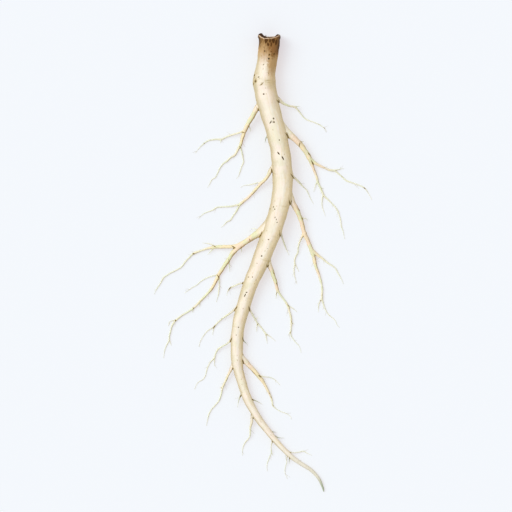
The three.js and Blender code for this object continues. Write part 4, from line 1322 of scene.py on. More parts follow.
    def _onto_form(self, points: Array) -> Array:
        """Sets points on the skin of the grown form, where two roots run into each other."""
        for _ in range(2):
            reading = self.survey(points)
            size = self._fork_sizes(reading)
            share = np.clip(0.5 + 0.5 * reading.lead / size, 0, 1)
            gap = reading.second.gap * (1 - share) + reading.first.gap * share - size * share * (1 - share)
            slope = reading.first.out * share[:, None] + reading.second.out * (1 - share)[:, None]
            steepness = np.maximum(dots(slope, slope), self.least_slope)
            points = points - slope * (np.clip(gap, -1, 1) / steepness)[:, None]
        return points

    def relieve(self, mesh: bpy.types.Mesh, points: Array, reading: SkinReading) -> Array:
        """Gives the skin its lumps, wrinkles, rings and pits, and lays it on the surface.

        Args:
            mesh: the skin's mesh.
            points: its points in mm.
            reading: which root each point belongs to.

        Returns:
            The points in their new places.
        """
        write_places(mesh, points * MM)
        normals = read_vectors(mesh, "normal")
        radius = reading.first.radius
        place = self.skin_place(points, reading)
        thick = self.thick.at(radius)
        rise = self.lumps.at(place) * np.minimum(1, radius / self.lump_radius)
        rise += self.bumps.at(place) * np.minimum(1, radius / self.bump_radius)
        rise += self.wrinkles.at(place) * thick
        rise += self.grit.at(place) * np.minimum(1, radius / self.grit_radius)
        rise -= self.ring_depth * self.rings_at(place, reading) * thick
        pits = self.pores_at(points, reading).depth()
        rise -= self.pit_depth * pits * np.minimum(1, radius / self.bump_radius)
        calm = self.calm_crown.at(points[:, 1])
        places = points + normals * (rise * calm)[:, None]
        lowest = np.where(reading.on_taproot, 0.0, FLOOR_GAP / 2)
        places[:, 2] = np.maximum(places[:, 2], lowest)
        return np.clip(places, BOX_LOW + self.box_inset, BOX_HIGH - self.box_inset)

    def skin_place(self, points: Array, reading: SkinReading) -> Array:
        """Place on the unrolled skin: round the root in the first two values, and along it in the third."""
        along = reading.first.along.copy()
        top = self.lines[0].centres[0, 1]
        beyond = reading.on_taproot & (points[:, 1] > top)
        along[beyond] = top - points[beyond, 1]
        radius, angle = reading.first.radius, reading.first.angle
        shifted = along + reading.own * self.place_shift
        return np.column_stack((radius * np.cos(angle), radius * np.sin(angle), shifted))

    def rings_at(self, place: Array, reading: SkinReading) -> Array:
        """Strength of the shallow rings that run part of the way round the taproot."""
        along = place[:, 2]
        draw = np.random.default_rng(self.ring_seed)
        strength = np.zeros(len(place))
        for _ in range(self.ring_count):
            spot, start = draw.uniform(0, self.ring_end), draw.uniform(-np.pi, np.pi)
            width, reach = draw.uniform(0.35, 0.7), draw.uniform(0.5, 1.3)
            lean = draw.uniform(-0.8, 0.8)
            turn = reading.first.angle - start
            offset = (along - spot - lean * np.sin(turn)) / width
            fade = eased((reach - np.abs(half_turns(turn))) / self.ring_fade)
            strength = np.maximum(strength, np.exp(-offset**2) * fade)
        for ring in self.collar_rings:
            strength = np.maximum(strength, ring.at(along))
        return strength * reading.on_taproot

    def pores_at(self, points: Array, reading: SkinReading) -> MarkField:
        """The dark pores: the ones seen from above, and seeded ones on the sides and below.

        Args:
            points: skin points in mm.
            reading: which root each belongs to.

        Returns:
            Each point's place against the nearest pore.
        """
        pores = self._seen(points, reading, PORES)
        draw = np.random.default_rng(self.pore_seed)
        low, high = (turn * math.pi for turn in self.pore_turns)
        for _ in range(self.pore_count):
            spot, turn = draw.uniform(*self.pore_places), draw.uniform(low, high)
            length, width = draw.uniform(0.5, 1.1), draw.uniform(0.35, 0.6)
            level = draw.uniform(0.35, 0.95)
            around = half_turns(reading.first.angle - turn) * reading.first.radius
            along = (reading.first.along - spot) / (width * self.mark_spread)
            pores.add(around / (length * self.mark_spread), along, level, reading.on_taproot)
        return pores

    def _seen(self, points: Array, reading: SkinReading, rows: tuple) -> MarkField:
        """A table's marks, on the part of the taproot that is seen from above."""
        marks = MarkField(len(points))
        upper = reading.on_taproot & (reading.upward > self.lowest_mark)
        marks.add_rows(points, rows, upper, self.mark_spread)
        return marks

    def fork_lines_at(self, points: Array, reading: SkinReading) -> MarkField:
        """The dark lines seen at the forks and knots from above, widest at their far end: painted crease
        shade in the forks, and the knots' own dark colour.

        Args:
            points: skin points in mm.
            reading: which root each belongs to.

        Returns:
            Each point's place against the nearest line. On the taproot's top the lines are fainter.
        """
        lines = MarkField(len(points))
        upper = reading.upward > self.lowest_line
        middle_width, gain = self.line_width
        for x, y, end_x, end_y, half_width, level in FORK_MARKS:
            start, span = np.array((x, y)), np.array((end_x - x, end_y - y))
            half = np.linalg.norm(span) / 2
            way = span / (2 * half)
            offset = points[:, :2] - start - span / 2
            along = offset @ way / ((half + half_width) * self.mark_spread)
            taper = middle_width + gain * np.clip(along, -1, 1)
            aside = offset[:, 1] * way[0] - offset[:, 0] * way[1]
            lines.add(along, aside / (half_width * self.mark_spread * taper), level, upper)
        high = self.line_high.at(reading.upward) * reading.on_taproot
        lines.level = lines.level * (1 - self.line_fade * high)
        return lines

    def write_readings(self, mesh: bpy.types.Mesh, points: Array, reading: SkinReading) -> None:
        """Stores on the skin what its finish needs to know of each point.

        Args:
            mesh: the skin's mesh.
            points: its points in mm.
            reading: which root each point belongs to.
        """
        place = self.skin_place(points, reading)
        share = 0.5 + 0.5 * np.clip(reading.lead / self._fork_sizes(reading), 0, 1)
        near = reading.second.gap < self.known_within
        other_radius = np.where(near, reading.second.radius, reading.first.radius)
        to_taproot = eased(self.lines[0].read(points).gap / self.root_blend)
        lengths = np.array([line.length for line in self.lines])
        write_reading(mesh, "skin_place", place)
        write_reading(mesh, "girth", 2 * (reading.first.radius * share + other_radius * (1 - share)))
        write_reading(mesh, "taproot", np.where(reading.on_taproot, 1.0, 1 - to_taproot))
        write_reading(mesh, "upward", reading.upward)
        # Which way the skin faces the side away from the light, for the painted shade.
        write_reading(mesh, "to_the_right", reading.first.out @ np.array(self.shaded_way))
        write_reading(mesh, "to_tip", lengths[reading.own] - reading.first.along)
        self.pores_at(points, reading).write(mesh, "pore")
        self._seen(points, reading, CROWN_STREAKS).write(mesh, "streak", self.streaks_apart)
        self.fork_lines_at(points, reading).write(mesh, "fork_line")
        write_reading(mesh, "growth_ring", self.rings_at(place, reading))
        # Painted crease shade in the crotches.
        write_reading(mesh, "fork", self.crotch_shade_at(points, reading))
        spoke = (points - np.array((self.crown.centre_x, 0, self.crown.height))) * (1, 0, 1)
        behind = self.crown.rim_at(np.arctan2(spoke[:, 2], spoke[:, 0])) - points[:, 1]
        facing_out = dots(read_vectors(mesh, "normal"), unit(spoke))
        in_crown = (points[:, 1] > self.crown_zone_y) & reading.on_taproot
        write_reading(mesh, "behind_rim", np.where(reading.on_taproot, behind, self.beyond_crown))
        write_reading(mesh, "in_cup", self.cup_faces.at(facing_out) * in_crown)

    def crotch_shade_at(self, points: Array, reading: SkinReading) -> Array:
        """Strength of the painted crease shade in the crotch between a side root and its parent, on the side
        towards their tips.

        Args:
            points: skin points in mm.
            reading: which roots are nearest.

        Returns:
            A strength from 0 to 1 for each point.
        """
        strength = np.zeros(len(points))
        width = self.crease_share * self._fork_sizes(reading) + self.crease_width
        crease = np.exp(-((reading.lead / width) ** 2))
        for child, number in enumerate(self.parents[1:], start=1):
            line, parent = self.lines[child], self.lines[number]
            pairs = ((child, number), (number, child))
            here = np.any([(reading.own == own) & (reading.other == other) for own, other in pairs], axis=0)
            chosen = np.flatnonzero(here & (crease > self.faintest_crease))
            if not len(chosen):
                continue
            outside = np.flatnonzero(parent.read(line.centres).gap > 0)
            leaving = outside[0] if len(outside) else 1
            nearest = np.linalg.norm(parent.centres - line.centres[leaving], axis=1).argmin()
            bisector = unit((line.tangents[leaving] + parent.tangents[nearest])[None, :])[0]
            beyond = unit(points[chosen] - line.centres[leaving]) @ bisector
            strength[chosen] = crease[chosen] * self.crotch.at(beyond)
        return strength


@dataclass
class RootHairs:
    """Fine rootlets on the side roots and the lower taproot, thinner than the solid's. Sizes are in mm."""

    gap: float = 24.0
    taproot_start: float = 0.62
    side_start: float = 0.25
    last_place: float = 0.97
    shortest: float = 1.6
    longest: float = 4.6
    sunk_run: float = -0.4
    sunk_depth: float = 0.4
    leaving_depth: float = 0.85
    fall: Ease = Ease(0, 0.8)
    thickness: float = 0.28
    end_share: float = 0.28
    box_margin: float = 0.4
    rows: int = 7
    seed: int = 23

    def build(self, lines: list[RootLine]) -> Piece:
        """Grows the hairs along the roots' lines.

        Args:
            lines: the roots' lines.

        Returns:
            All hairs as one piece.
        """
        draw = np.random.default_rng(self.seed)
        hairs = []
        for line in lines:
            start = self.taproot_start if line.girth is Girth.TAPROOT else self.side_start
            first = start * line.length
            count = int((line.length - first) / self.gap + draw.uniform(0.2, 0.9))
            for _ in range(count):
                stop = draw.uniform(first, line.length * self.last_place)
                path = self._path(line, int(np.searchsorted(line.run, stop)) - 1, draw)
                held = np.clip(path, BOX_LOW + self.box_margin, BOX_HIGH - self.box_margin)
                hairs.append(tapered_tube(f"hair_{len(hairs)}", held, self.thickness / 2, self.end_share))
        return join(hairs, "root_hairs")

    def _path(self, line: RootLine, station: int, draw: np.random.Generator) -> Array:
        """Route of one hair, from inside the root's skin outwards and down to the surface.

        Args:
            line: the root that it grows from.
            station: number of the station where it leaves.
            draw: the seeded draw.

        Returns:
            Places of its rings.
        """
        side = draw.choice((-1.0, 1.0))
        length = draw.uniform(self.shortest, self.longest)
        centre, tangent, across = line.centres[station], line.tangents[station], line.across[station]
        heading = unit((across * side + tangent * draw.uniform(0.4, 1.1))[None, :])[0]
        bend = tangent * draw.uniform(0.1, 0.5) + across * draw.uniform(-0.35, 0.35)
        run = np.linspace(self.sunk_run, 1, self.rows)
        start = centre + across * side * line.radii[station] * self.leaving_depth
        path = start + np.outer(run, heading) * length + np.outer(np.maximum(run, 0) ** 2, bend) * length
        ground = FLOOR_GAP + self.thickness / 2
        drop = self.fall.at(run)
        path[:, 2] = start[2] * (1 - drop) + ground * drop
        path[0] = centre + across * side * line.radii[station] * self.sunk_depth
        return path


@dataclass
class CrownFibres:
    """Torn strands that stand out of the crown's cup and rim. Sizes are in mm."""

    count: int = 44
    shortest: float = 0.5
    longest: float = 1.5
    rim_share: float = 0.8
    at_rim: float = 0.55
    sunk: float = 0.8
    lean: float = 0.28
    sway: float = 0.3
    above_rim: float = 0.2
    below_rim: float = -0.8
    thickness: float = 0.34
    end_share: float = 0.25
    stub_x: float = 2.2
    stub_top: float = 227.0
    stub_scale: float = 3.4
    stub_depth: float = 4.0
    stub_lean: tuple[float, float] = (0.4, 0.2)
    rows: int = 5
    seed: int = 31

    def build(self, crown: Crown) -> Piece:
        """Sets the strands in the cup and along the rim.

        Args:
            crown: the crown that they stand in.

        Returns:
            All strands as one piece.
        """
        draw = np.random.default_rng(self.seed)
        strands = []
        for number in range(self.count):
            path = self._path(crown, draw)
            scale = draw.uniform(0.6, 1.2)
            strands.append(tapered_tube(f"strand_{number}", path, self.thickness / 2 * scale, self.end_share))
        foot = np.array((self.stub_x, crown.heart_level - self.stub_depth, crown.height))
        rise = np.array((self.stub_lean[0], self.stub_top - foot[1], self.stub_lean[1]))
        path = foot + np.outer(np.linspace(0, 1, self.rows), rise)
        strands.append(tapered_tube("stub", path, self.thickness / 2 * self.stub_scale, self.end_share))
        return join(strands, "crown_fibres")

    def _path(self, crown: Crown, draw: np.random.Generator) -> Array:
        """Route of one strand, from inside the crown's wall out of it.

        Args:
            crown: the crown that it stands in.
            draw: the seeded draw.

        Returns:
            Places of its rings.
        """
        angle, share = draw.uniform(0, 2 * math.pi), math.sqrt(draw.uniform(0.02, 0.9))
        at_rim = share > self.rim_share
        radius = share * crown.diameter / 2
        depth = float(np.interp(share, *zip(*crown.cup_profile)))
        level = float(crown.rim_at(np.array([angle]))[0]) - depth
        x, z = crown.centre_x + radius * math.cos(angle), crown.height + radius * math.sin(angle)
        foot = np.array((x, level - self.sunk, z))
        length = draw.uniform(self.shortest, self.longest) * (self.at_rim if at_rim else 1.0)
        lean = np.array((draw.normal(0, self.lean), 1.0, draw.normal(0, self.lean)))
        sway = np.array((draw.normal(0, self.sway), 0.0, draw.normal(0, self.sway)))
        run = np.linspace(0, 1, self.rows)
        path = foot + np.outer(run, lean) * (length + self.sunk) + np.outer(run**2, sway) * length
        over = self.above_rim if at_rim else self.below_rim
        tallest = min(crown.highest_y - self.above_rim, level + depth + over)
        path[:, 1] = np.minimum(path[:, 1], tallest + 0.02 * np.arange(self.rows))
        return path


Colour = tuple[float, float, float, float]


def tint(red: float, green: float, blue: float) -> Colour:
    """A colour named by its 0 to 255 screen values, as the linear values that shaders use."""
    parts = [value / 255 for value in (red, green, blue)]
    linear = [part / 12.92 if part <= 0.04045 else ((part + 0.055) / 1.055) ** 2.4 for part in parts]
    return (*linear, 1.0)


class Wire:
    """A socket of numbers, whose arithmetic adds Math nodes."""

    def __init__(self, bench: "NodeBench", socket: bpy.types.NodeSocket) -> None:
        """Holds the socket and the bench that it belongs to."""
        self.bench = bench
        self.socket = socket

    def _math(self, operation: str, *values: "Wire | float") -> "Wire":
        """A Math node on these values."""
        node = self.bench.node("ShaderNodeMath", {"operation": operation}, dict(enumerate(values)))
        return Wire(self.bench, node.outputs[0])

    def __add__(self, other: "Wire | float") -> "Wire":
        """The sum."""
        return self._math("ADD", self, other)

    __radd__ = __add__

    def __sub__(self, other: "Wire | float") -> "Wire":
        """The difference."""
        return self._math("SUBTRACT", self, other)

    def __rsub__(self, other: float) -> "Wire":
        """The difference, with the number first."""
        return self._math("SUBTRACT", other, self)

    def __mul__(self, other: "Wire | float") -> "Wire":
        """The product."""
        return self._math("MULTIPLY", self, other)

    __rmul__ = __mul__

    def larger(self, other: "Wire | float") -> "Wire":
        """The larger of the two."""
        return self._math("MAXIMUM", self, other)

    def rising(self, low: float, high: float) -> "Wire":
        """Eases from 0 at low to 1 at high. Low may be the larger number."""
        settings = {"interpolation_type": "SMOOTHSTEP"}
        start, stop, first, last = (low, high, 0.0, 1.0) if low < high else (high, low, 1.0, 0.0)
        sockets = {0: self, 1: start, 2: stop, 3: first, 4: last}
        return Wire(self.bench, self.bench.node("ShaderNodeMapRange", settings, sockets).outputs[0])


@dataclass(frozen=True)
class SkinNoise:
    """Soft noise on the unrolled skin: its scale round and along the root in steps a mm, and its make."""

    scale: Triple
    detail: float = 3.0
    roughness: float = 0.5


@dataclass
class NodeBench:
    """Where a material's nodes are put together."""

    name: str
    material: bpy.types.Material = field(init=False)

    def __post_init__(self) -> None:
        """Makes the material with its plain shader."""
        self.material = bpy.data.materials.new(self.name)
        self.material.use_nodes = True

    @property
    def shader(self) -> bpy.types.Node:
        """The material's main shader."""
        return self.material.node_tree.nodes["Principled BSDF"]

    def node(self, kind: str, settings: dict[str, object],
             sockets: dict[int | str, object]) -> bpy.types.Node:
        """Adds a node.

        Args:
            kind: the node's type.
            settings: its settings, which are set first.
            sockets: values or wires for its sockets, by number or name.

        Returns:
            The node.
        """
        node = self.material.node_tree.nodes.new(kind)
        for name, value in settings.items():
            setattr(node, name, value)
        for key, value in sockets.items():
            self.feed(node.inputs[key], value)
        return node

    def feed(self, socket: bpy.types.NodeSocket, value: object) -> None:
        """Gives a socket a value, or a wire to follow."""
        if isinstance(value, Wire):
            self.material.node_tree.links.new(value.socket, socket)
        else:
            socket.default_value = value

    def reading(self, name: str) -> Wire:
        """A number that the mesh holds on its points."""
        node = self.node("ShaderNodeAttribute", {"attribute_name": name}, {})
        return Wire(self, node.outputs["Fac"])

    def place(self, name: str, scale: Triple) -> Wire:
        """A vector that the mesh holds on its points, scaled along each axis."""
        source = self.node("ShaderNodeAttribute", {"attribute_name": name}, {})
        return self._scaled(source.outputs["Vector"], scale)

    def object_place(self, scale: Triple) -> Wire:
        """The place on the object, scaled along each axis."""
        source = self.node("ShaderNodeTexCoord", {}, {})
        return self._scaled(source.outputs["Object"], scale)

    def _scaled(self, socket: bpy.types.NodeSocket, scale: Triple) -> Wire:
        """The vector of a socket, scaled along each axis."""
        node = self.node("ShaderNodeMapping", {}, {"Vector": Wire(self, socket), "Scale": scale})
        return Wire(self, node.outputs[0])

    def depth_in(self, name: str) -> Wire:
        """How deep a place lies in the nearest mark of a kind: above 0 inside it."""
        flat = self.place(name, (1, 1, 0))
        length = self.node("ShaderNodeVectorMath", {"operation": "LENGTH"}, {0: flat}).outputs["Value"]
        parts = self.node("ShaderNodeSeparateXYZ", {}, {0: self.place(name, (1, 1, 1))})
        return Wire(self, parts.outputs[2]) * (1 - Wire(self, length))

    def noise(self, place: Wire, detail: float = 2.0, roughness: float = 0.5) -> Wire:
        """Soft noise from 0 to 1 at a place."""
        sockets = {"Vector": place, "Scale": 1.0, "Detail": detail, "Roughness": roughness}
        return Wire(self, self.node("ShaderNodeTexNoise", {}, sockets).outputs[0])

    def skin_noise(self, pattern: SkinNoise) -> Wire:
        """Soft noise from 0 to 1 on the unrolled skin."""
        return self.noise(self.place("skin_place", pattern.scale), pattern.detail, pattern.roughness)

    def cells(self, place: Wire) -> tuple[Wire, Wire]:
        """Distance to the nearest of many scattered points, and a random number for each point."""
        node = self.node("ShaderNodeTexVoronoi", {}, {"Vector": place, "Scale": 1.0})
        parts = self.node("ShaderNodeSeparateColor", {}, {"Color": Wire(self, node.outputs["Color"])})
        return Wire(self, node.outputs["Distance"]), Wire(self, parts.outputs[0])

    def mix(self, factor: "Wire | float", below: object, above: object) -> Wire:
        """Lays one colour over another, by this factor."""
        node = self.node("ShaderNodeMix", {"data_type": "RGBA"}, {0: factor, 6: below, 7: above})
        return Wire(self, node.outputs[2])

    def layers(self, colour: object, *layers: tuple[Wire, object]) -> Wire:
        """Lays colours over one another.

        Args:
            colour: the lowest colour.
            layers: for each of the others from below, how much of it shows, and the colour.

        Returns:
            The mixed colour.
        """
        for factor, above in layers:
            colour = self.mix(factor, colour, above)
        return colour

    def bump(self, height: Wire, strength: float, distance: float) -> None:
        """Leads a height through a Bump node to the shader's Normal."""
        sockets = {"Height": height, "Strength": strength, "Distance": distance}
        node = self.node("ShaderNodeBump", {}, sockets)
        self.feed(self.shader.inputs["Normal"], Wire(self, node.outputs[0]))

    def dress(self, **sockets: object) -> bpy.types.Material:
        """Sets the shader's sockets, with spaces in their names written as underscores.

        Args:
            sockets: values or wires.

        Returns:
            The material.
        """
        for name, value in sockets.items():
            self.feed(self.shader.inputs[name.replace("_", " ")], value)
        return self.material


@dataclass(frozen=True)
class SkinFinish:
    """Cream root skin with painted shade on the side away from the light and on its edges, brown pores, dark
    forks partly painted as crease shade, and a dark torn crown.

    Each layer is mixed over the one below it. In its mask, rising(low, high) says at which reading the layer
    starts to show and at which it is full, and the factor behind it how strongly.
    """

    cream: Colour = tint(251, 241, 222)
    blush: Colour = tint(253, 235, 219)
    green: Colour = tint(241, 233, 205)
    honey: Colour = tint(243, 224, 188)
    # Painted shade: light brown on the taproot's side away from the light.
    painted_shade_tan: Colour = tint(239, 214, 166)
    # Painted shade on the edges, seen from above as a darker outline.
    painted_edge_shade: Colour = tint(200, 182, 140)
    tip: Colour = tint(224, 218, 198)
    tip_end: Colour = tint(160, 171, 140)
    side_root: Colour = tint(249, 231, 189)
    side_blush: Colour = tint(252, 222, 198)
    side_green: Colour = tint(228, 231, 186)
    # Painted shade on the side roots' side away from the light, for thick and for thin roots.
    side_painted_shade: Colour = tint(182, 146, 92)
    thin: Colour = tint(237, 240, 214)
    thin_painted_shade: Colour = tint(190, 190, 146)
    # Olive halo of growth rings and crown streaks, and painted crease shade round the forks.
    halo: Colour = tint(186, 160, 92)
    # Painted crease shade in the crotches and fork lines, and the knots' dark colour.
    fork: Colour = tint(92, 68, 24)
    pore: Colour = tint(76, 58, 34)
    speck: Colour = tint(186, 164, 112)
    shoulder: Colour = tint(214, 180, 130)
    collar: Colour = tint(192, 152, 98)
    vein: Colour = tint(134, 96, 46)
    stain: Colour = tint(146, 98, 50)
    streak: Colour = tint(82, 48, 12)
    smear: Colour = tint(150, 108, 54)
    dark: Colour = tint(70, 48, 28)
    rim: Colour = tint(224, 194, 162)
    cup: Colour = tint(84, 56, 34)
    patches: SkinNoise = SkinNoise((0.16, 0.16, 0.09))
    lines: SkinNoise = SkinNoise((0.6, 0.6, 0.05), roughness=0.6)
    mottle: SkinNoise = SkinNoise((0.4, 0.4, 0.25), roughness=0.6)
    ragged: SkinNoise = SkinNoise((1.9, 1.9, 1.4), detail=2.0)
    drips: SkinNoise = SkinNoise((0.42, 0.42, 0.05))
    blots: SkinNoise = SkinNoise((0.7, 0.7, 0.45), roughness=0.6)
    grains: SkinNoise = SkinNoise((1.0, 1.0, 0.16), roughness=0.6)
    strands: SkinNoise = SkinNoise((1.3, 1.3, 0.12))
    dust: SkinNoise = SkinNoise((2.2, 2.2, 2.2), roughness=0.6)
    tint_scale: Triple = (70, 70, 70)
    pore_scale: Triple = (0.34, 0.34, 0.2)
    bump_strength: float = 0.35
    bump_distance: float = 0.0003
    gloss: float = 0.12

    def material(self) -> bpy.types.Material:
        """Builds the material."""
        bench = NodeBench("root_skin")
        colour = self._skin(bench)
        colour = self._crown(bench, colour)
        colour = self._marks(bench, colour)
        colour = self._cup(bench, colour)
        strands, dust = bench.skin_noise(self.strands), bench.skin_noise(self.dust)
        bench.bump(strands * 0.6 + dust * 0.4, self.bump_strength, self.bump_distance)
        return bench.dress(Base_Color=colour, Roughness=0.6 + 0.2 * dust, Specular_IOR_Level=self.gloss)

    def _skin(self, bench: NodeBench) -> Wire:
        """Cream skin with painted shade on the side away from the light and on its edges, streaked along the
        root, and greener on thin roots.
        """
        upward, right = bench.reading("upward"), bench.reading("to_the_right")
        girth, taproot = bench.reading("girth"), bench.reading("taproot")
        patches, streaks = bench.skin_noise(self.patches), bench.skin_noise(self.lines)
        mottle = bench.skin_noise(self.mottle)
        tints = bench.noise(bench.object_place(self.tint_scale), 2)
        side = bench.mix(patches.rising(0.45, 0.6) * 0.7, self.side_root, self.side_blush)
        side = bench.mix(tints.rising(0.48, 0.6) * 0.8, side, self.side_green)
        # How far a point leans to the side away from the light, mottled, for the painted shade.
        lean = right + 0.5 * (streaks - 0.5) + 0.6 * (mottle - 0.5)
        thin = girth.rising(3.0, 1.3)
        shade = bench.mix(thin, self.side_painted_shade, self.thin_painted_shade)
        # How near the edges a point lies, for the painted edge shade.
        edge = upward + 0.3 * (streaks - 0.5) + 0.5 * (patches - 0.5)
        # The left side, where the painted edge shade reaches farther in.
        left = (0 - right).rising(-0.1, 0.4)
        return bench.layers(
            self.cream,
            (patches.rising(0.4, 0.62) * 0.8, self.blush),
            (tints.rising(0.5, 0.66) * 0.8, self.green),
            (streaks.rising(0.5, 0.7) * 0.55, self.honey),
            (1 - taproot, side),
            # Painted shade on the taproot's side away from the light, mottled.
            (lean.rising(-0.05, 0.8) * taproot * 0.9, self.painted_shade_tan),
            (thin * 0.75, self.thin),
            # Painted shade on the side roots' side away from the light.
            (lean.rising(0.15, 0.9) * (1 - taproot), shade),
            # Painted edge shade, deeper on the taproot's left edge.
            ((edge - 0.12 * left).rising(0.8, 0.2) * (0.25 + 0.2 * taproot), self.painted_edge_shade),
            (edge.rising(1.12, 0.35) * left * taproot * 0.75, self.painted_edge_shade),
        )

    def _marks(self, bench: NodeBench, colour: Wire) -> Wire:
        """Growth rings, fine pores, seen pores, streaks, and dark forks: painted crease shade in the
        crotches, and fork lines that are partly painted crease shade and partly dark knots.
        """
        ring, fork, tip = bench.reading("growth_ring"), bench.reading("fork"), bench.reading("to_tip")
        taproot = bench.reading("taproot")
        fine, pick = bench.cells(bench.place("skin_place", self.pore_scale))
        ragged = 0.16 * (bench.skin_noise(self.ragged) - 0.5)
        smeared = bench.reading("behind_rim").rising(24, 12)
        smear = bench.mix(smeared, self.halo, self.smear)
        line = bench.depth_in("fork_line") + ragged
        streak = bench.depth_in("streak") + 1.5 * ragged
        pore = bench.depth_in("pore") + ragged
        return bench.layers(
            colour,
            (ring * 0.3, self.halo),
            (fine.rising(0.24, 0.1) * pick.rising(0.7, 0.76) * 0.55 * (1 - smeared), self.speck),
            (tip.rising(75, 20) * taproot * 0.7, self.tip),
            (tip.rising(20, 2) * taproot * 0.9, self.tip_end),
            # Painted crease shade in the crotches and along the fork lines, which also carry the dark knots.
            (fork.rising(0.1, 0.75) * 0.75, self.halo),
            ((fork + 2 * ragged).rising(0.5, 1.0) * 0.85, self.fork),
            (line.rising(0.1, 0.42) * 0.7, self.halo),
            (line.rising(0.32, 0.62) * 0.9, self.fork),
            (streak.rising(0.08, 0.4) * 0.6, smear),
            (streak.rising(0.24, 0.56) * 0.92, self.streak),
            (pore.rising(0.12, 0.4) * 0.45 * (1 - smeared), self.speck),
            (pore.rising(0.32, 0.5) * 0.95, self.pore),
        )

    def _crown(self, bench: NodeBench, colour: Wire) -> Wire:
        """Tan collar, brown stain that runs down the right side, and dark flanks."""
        behind, right = bench.reading("behind_rim"), bench.reading("to_the_right")
        upward = bench.reading("upward")
        drips, blots = bench.skin_noise(self.drips), bench.skin_noise(self.blots)
        grains = bench.skin_noise(self.grains)
        reach = behind - 9 * (drips - 0.5) - 9 * (blots - 0.5)
        side = right + 0.5 * (blots - 0.5)
        hem = behind.rising(0.8, 1.5) * behind.rising(4.2, 2.2) * blots.rising(0.4, 0.58)
        flanks = (upward + 0.4 * (blots - 0.5)).rising(0.8, 0.45)
        near = (behind - 7 * right.larger(0)).rising(15, 6)
        fibres = 0.66 + 0.3 * grains.rising(0.6, 0.42)
        return bench.layers(
            colour,
            (reach.rising(74, 42) * behind.rising(18, 34) * side.rising(-0.1, 0.4) * 0.45, self.shoulder),
            ((reach - 16 * side.rising(-0.2, 0.5)).rising(30, 12) * 0.92, self.collar),
            (grains.rising(0.42, 0.58) * reach.rising(18, 4) * 0.85, self.vein),
            ((reach - 7 * side.rising(0.1, 0.5)).rising(17, 10) * side.rising(-0.3, 0.12) * 0.88, self.stain),
            (hem * upward.rising(0.3, 0.8) * 0.75, self.streak),
            (flanks * near * fibres, self.dark),
        )

    def _cup(self, bench: NodeBench, colour: Wire) -> Wire:
        """Dark cup, and the pale edge of its rim."""
        behind, upward = bench.reading("behind_rim"), bench.reading("upward")
        blots = bench.skin_noise(self.blots)
        near = (behind - 0.8 * (blots - 0.5)).rising(0.9, 0.5) * upward.rising(0.1, 0.5)
        far = (behind - 0.6 * (blots - 0.5)).rising(0.9, 0.5) * upward.rising(-0.72, -0.9)
        edge = near.larger(far * 0.7) * 0.9
        return bench.layers(colour, (bench.reading("in_cup"), self.cup), (edge, self.rim))


@dataclass(frozen=True)
class StrandFinish:
    """A plain fibrous finish for hairs and torn strands, darker and lighter from strand to strand."""

    name: str
    light: Colour
    deep: Colour
    pattern: float
    gloss: float = 0.25

    def material(self) -> bpy.types.Material:
        """Builds the material."""
        bench = NodeBench(self.name)
        step = 1 / (self.pattern * MM)
        shade = bench.noise(bench.object_place((step, step, step)), 2)
        colour = bench.mix(shade.rising(0.35, 0.65), self.light, self.deep)
        return bench.dress(Base_Color=colour, Roughness=0.7 + 0.15 * shade, Specular_IOR_Level=self.gloss)


ROOT_HAIR = StrandFinish("root_hair", tint(214, 204, 168), tint(176, 166, 130), 12.0)
CROWN_FIBRE = StrandFinish("crown_fibre", tint(104, 74, 44), tint(54, 38, 24), 2.0)


@dataclass(frozen=True)
class FloorFinish:
    """Matt, pale, faintly blue paper."""

    paper: Colour = (0.32, 0.42, 0.44, 1.0)
    glow: Colour = (0.587, 0.507, 0.519, 1.0)

    def material(self) -> bpy.types.Material:
        """Builds the material, lit from behind so that shadows on it stay faint."""
        bench = NodeBench("paper")
        return bench.dress(Base_Color=self.paper, Roughness=0.9, Specular_IOR_Level=0.0,
                           Emission_Color=self.glow, Emission_Strength=1.0)


@dataclass(frozen=True)
class Sun:
    """A wide soft light: where it comes from, how strong it is, and its spread in degrees."""

    name: str
    way: Triple
    strength: float
    spread: float

    def place(self) -> None:
        """Adds the light."""
        bpy.ops.object.light_add(type="SUN", location=Vector(self.way))
        light = bpy.context.object
        light.name = light.data.name = self.name
        light.rotation_euler = Vector(self.way).to_track_quat("Z", "Y").to_euler()
        light.data.energy = self.strength
        light.data.angle = math.radians(self.spread)


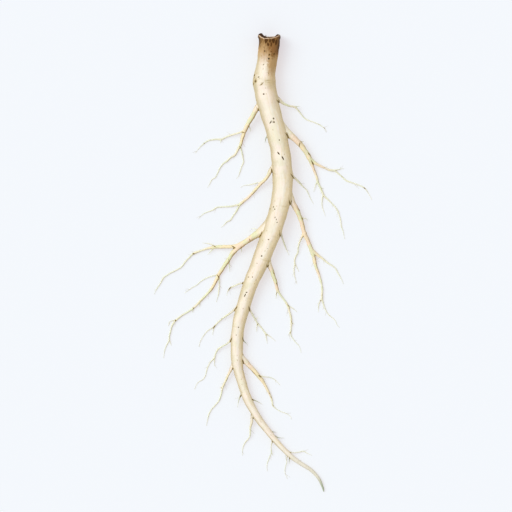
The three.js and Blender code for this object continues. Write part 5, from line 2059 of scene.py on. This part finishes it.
@dataclass(frozen=True)
class Studio:
    """Camera, light and floor. Sizes are in mm."""

    centre_x: float = -7.0
    centre_y: float = 6.5
    view_width: float = 512.0
    camera_height: float = 6000.0
    focus_height: float = 8.0
    floor_size: float = 8000.0
    floor_drop: float = 0.05
    sensor: float = 36.0
    key: Sun = Sun("key", (-0.42, 0.27, 0.87), 0.76, 32.0)
    side: Sun = Sun("side", (-0.64, 0.34, 0.69), 0.93, 34.0)
    sky: Colour = (0.93, 0.965, 1.0, 1.0)
    sky_strength: float = 0.64

    def camera(self) -> None:
        """Sets the camera straight above the root, with the photo's frame."""
        bpy.ops.object.camera_add(
            location=(self.centre_x * MM, self.centre_y * MM, self.camera_height * MM), rotation=(0, 0, 0)
        )
        camera = bpy.context.object
        half = (self.view_width / 2) / (self.camera_height - self.focus_height)
        camera.data.sensor_width = self.sensor
        camera.data.lens = self.sensor / 2 / half
        bpy.context.scene.camera = camera

    def lights(self) -> None:
        """Sets two wide soft lights at the upper left and an even pale surround."""
        for sun in (self.key, self.side):
            sun.place()
        world = bpy.data.worlds.new("studio")
        world.use_nodes = True
        background = world.node_tree.nodes["Background"]
        background.inputs["Color"].default_value = self.sky
        background.inputs["Strength"].default_value = self.sky_strength
        scene = bpy.context.scene
        scene.world = world
        scene.view_settings.view_transform = "Standard"

    def floor(self) -> None:
        """Lays the pale floor just under the root."""
        bpy.ops.object.select_all(action="DESELECT")
        place = (0, 0, -self.floor_drop * MM)
        bpy.ops.mesh.primitive_plane_add(size=self.floor_size * MM, location=place)
        floor = bpy.context.object
        floor.name = "floor"
        floor.data.materials.append(FloorFinish().material())


def main() -> None:
    """Builds the scene: the studio, the skin, its hairs and the crown's torn fibres."""
    logging.basicConfig(level=logging.INFO, format="%(name)s: %(message)s")
    studio = Studio()
    studio.camera()
    studio.lights()
    studio.floor()
    skin = RootSkin()
    root = finish_piece(skin.build(), SkinFinish().material())
    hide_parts(NODE)
    hairs = RootHairs().build(skin.lines)
    finish_piece(hairs, ROOT_HAIR.material())
    fibres = CrownFibres().build(skin.crown)
    finish_piece(fibres, CROWN_FIBRE.material())


if __name__ == "__main__":
    main()
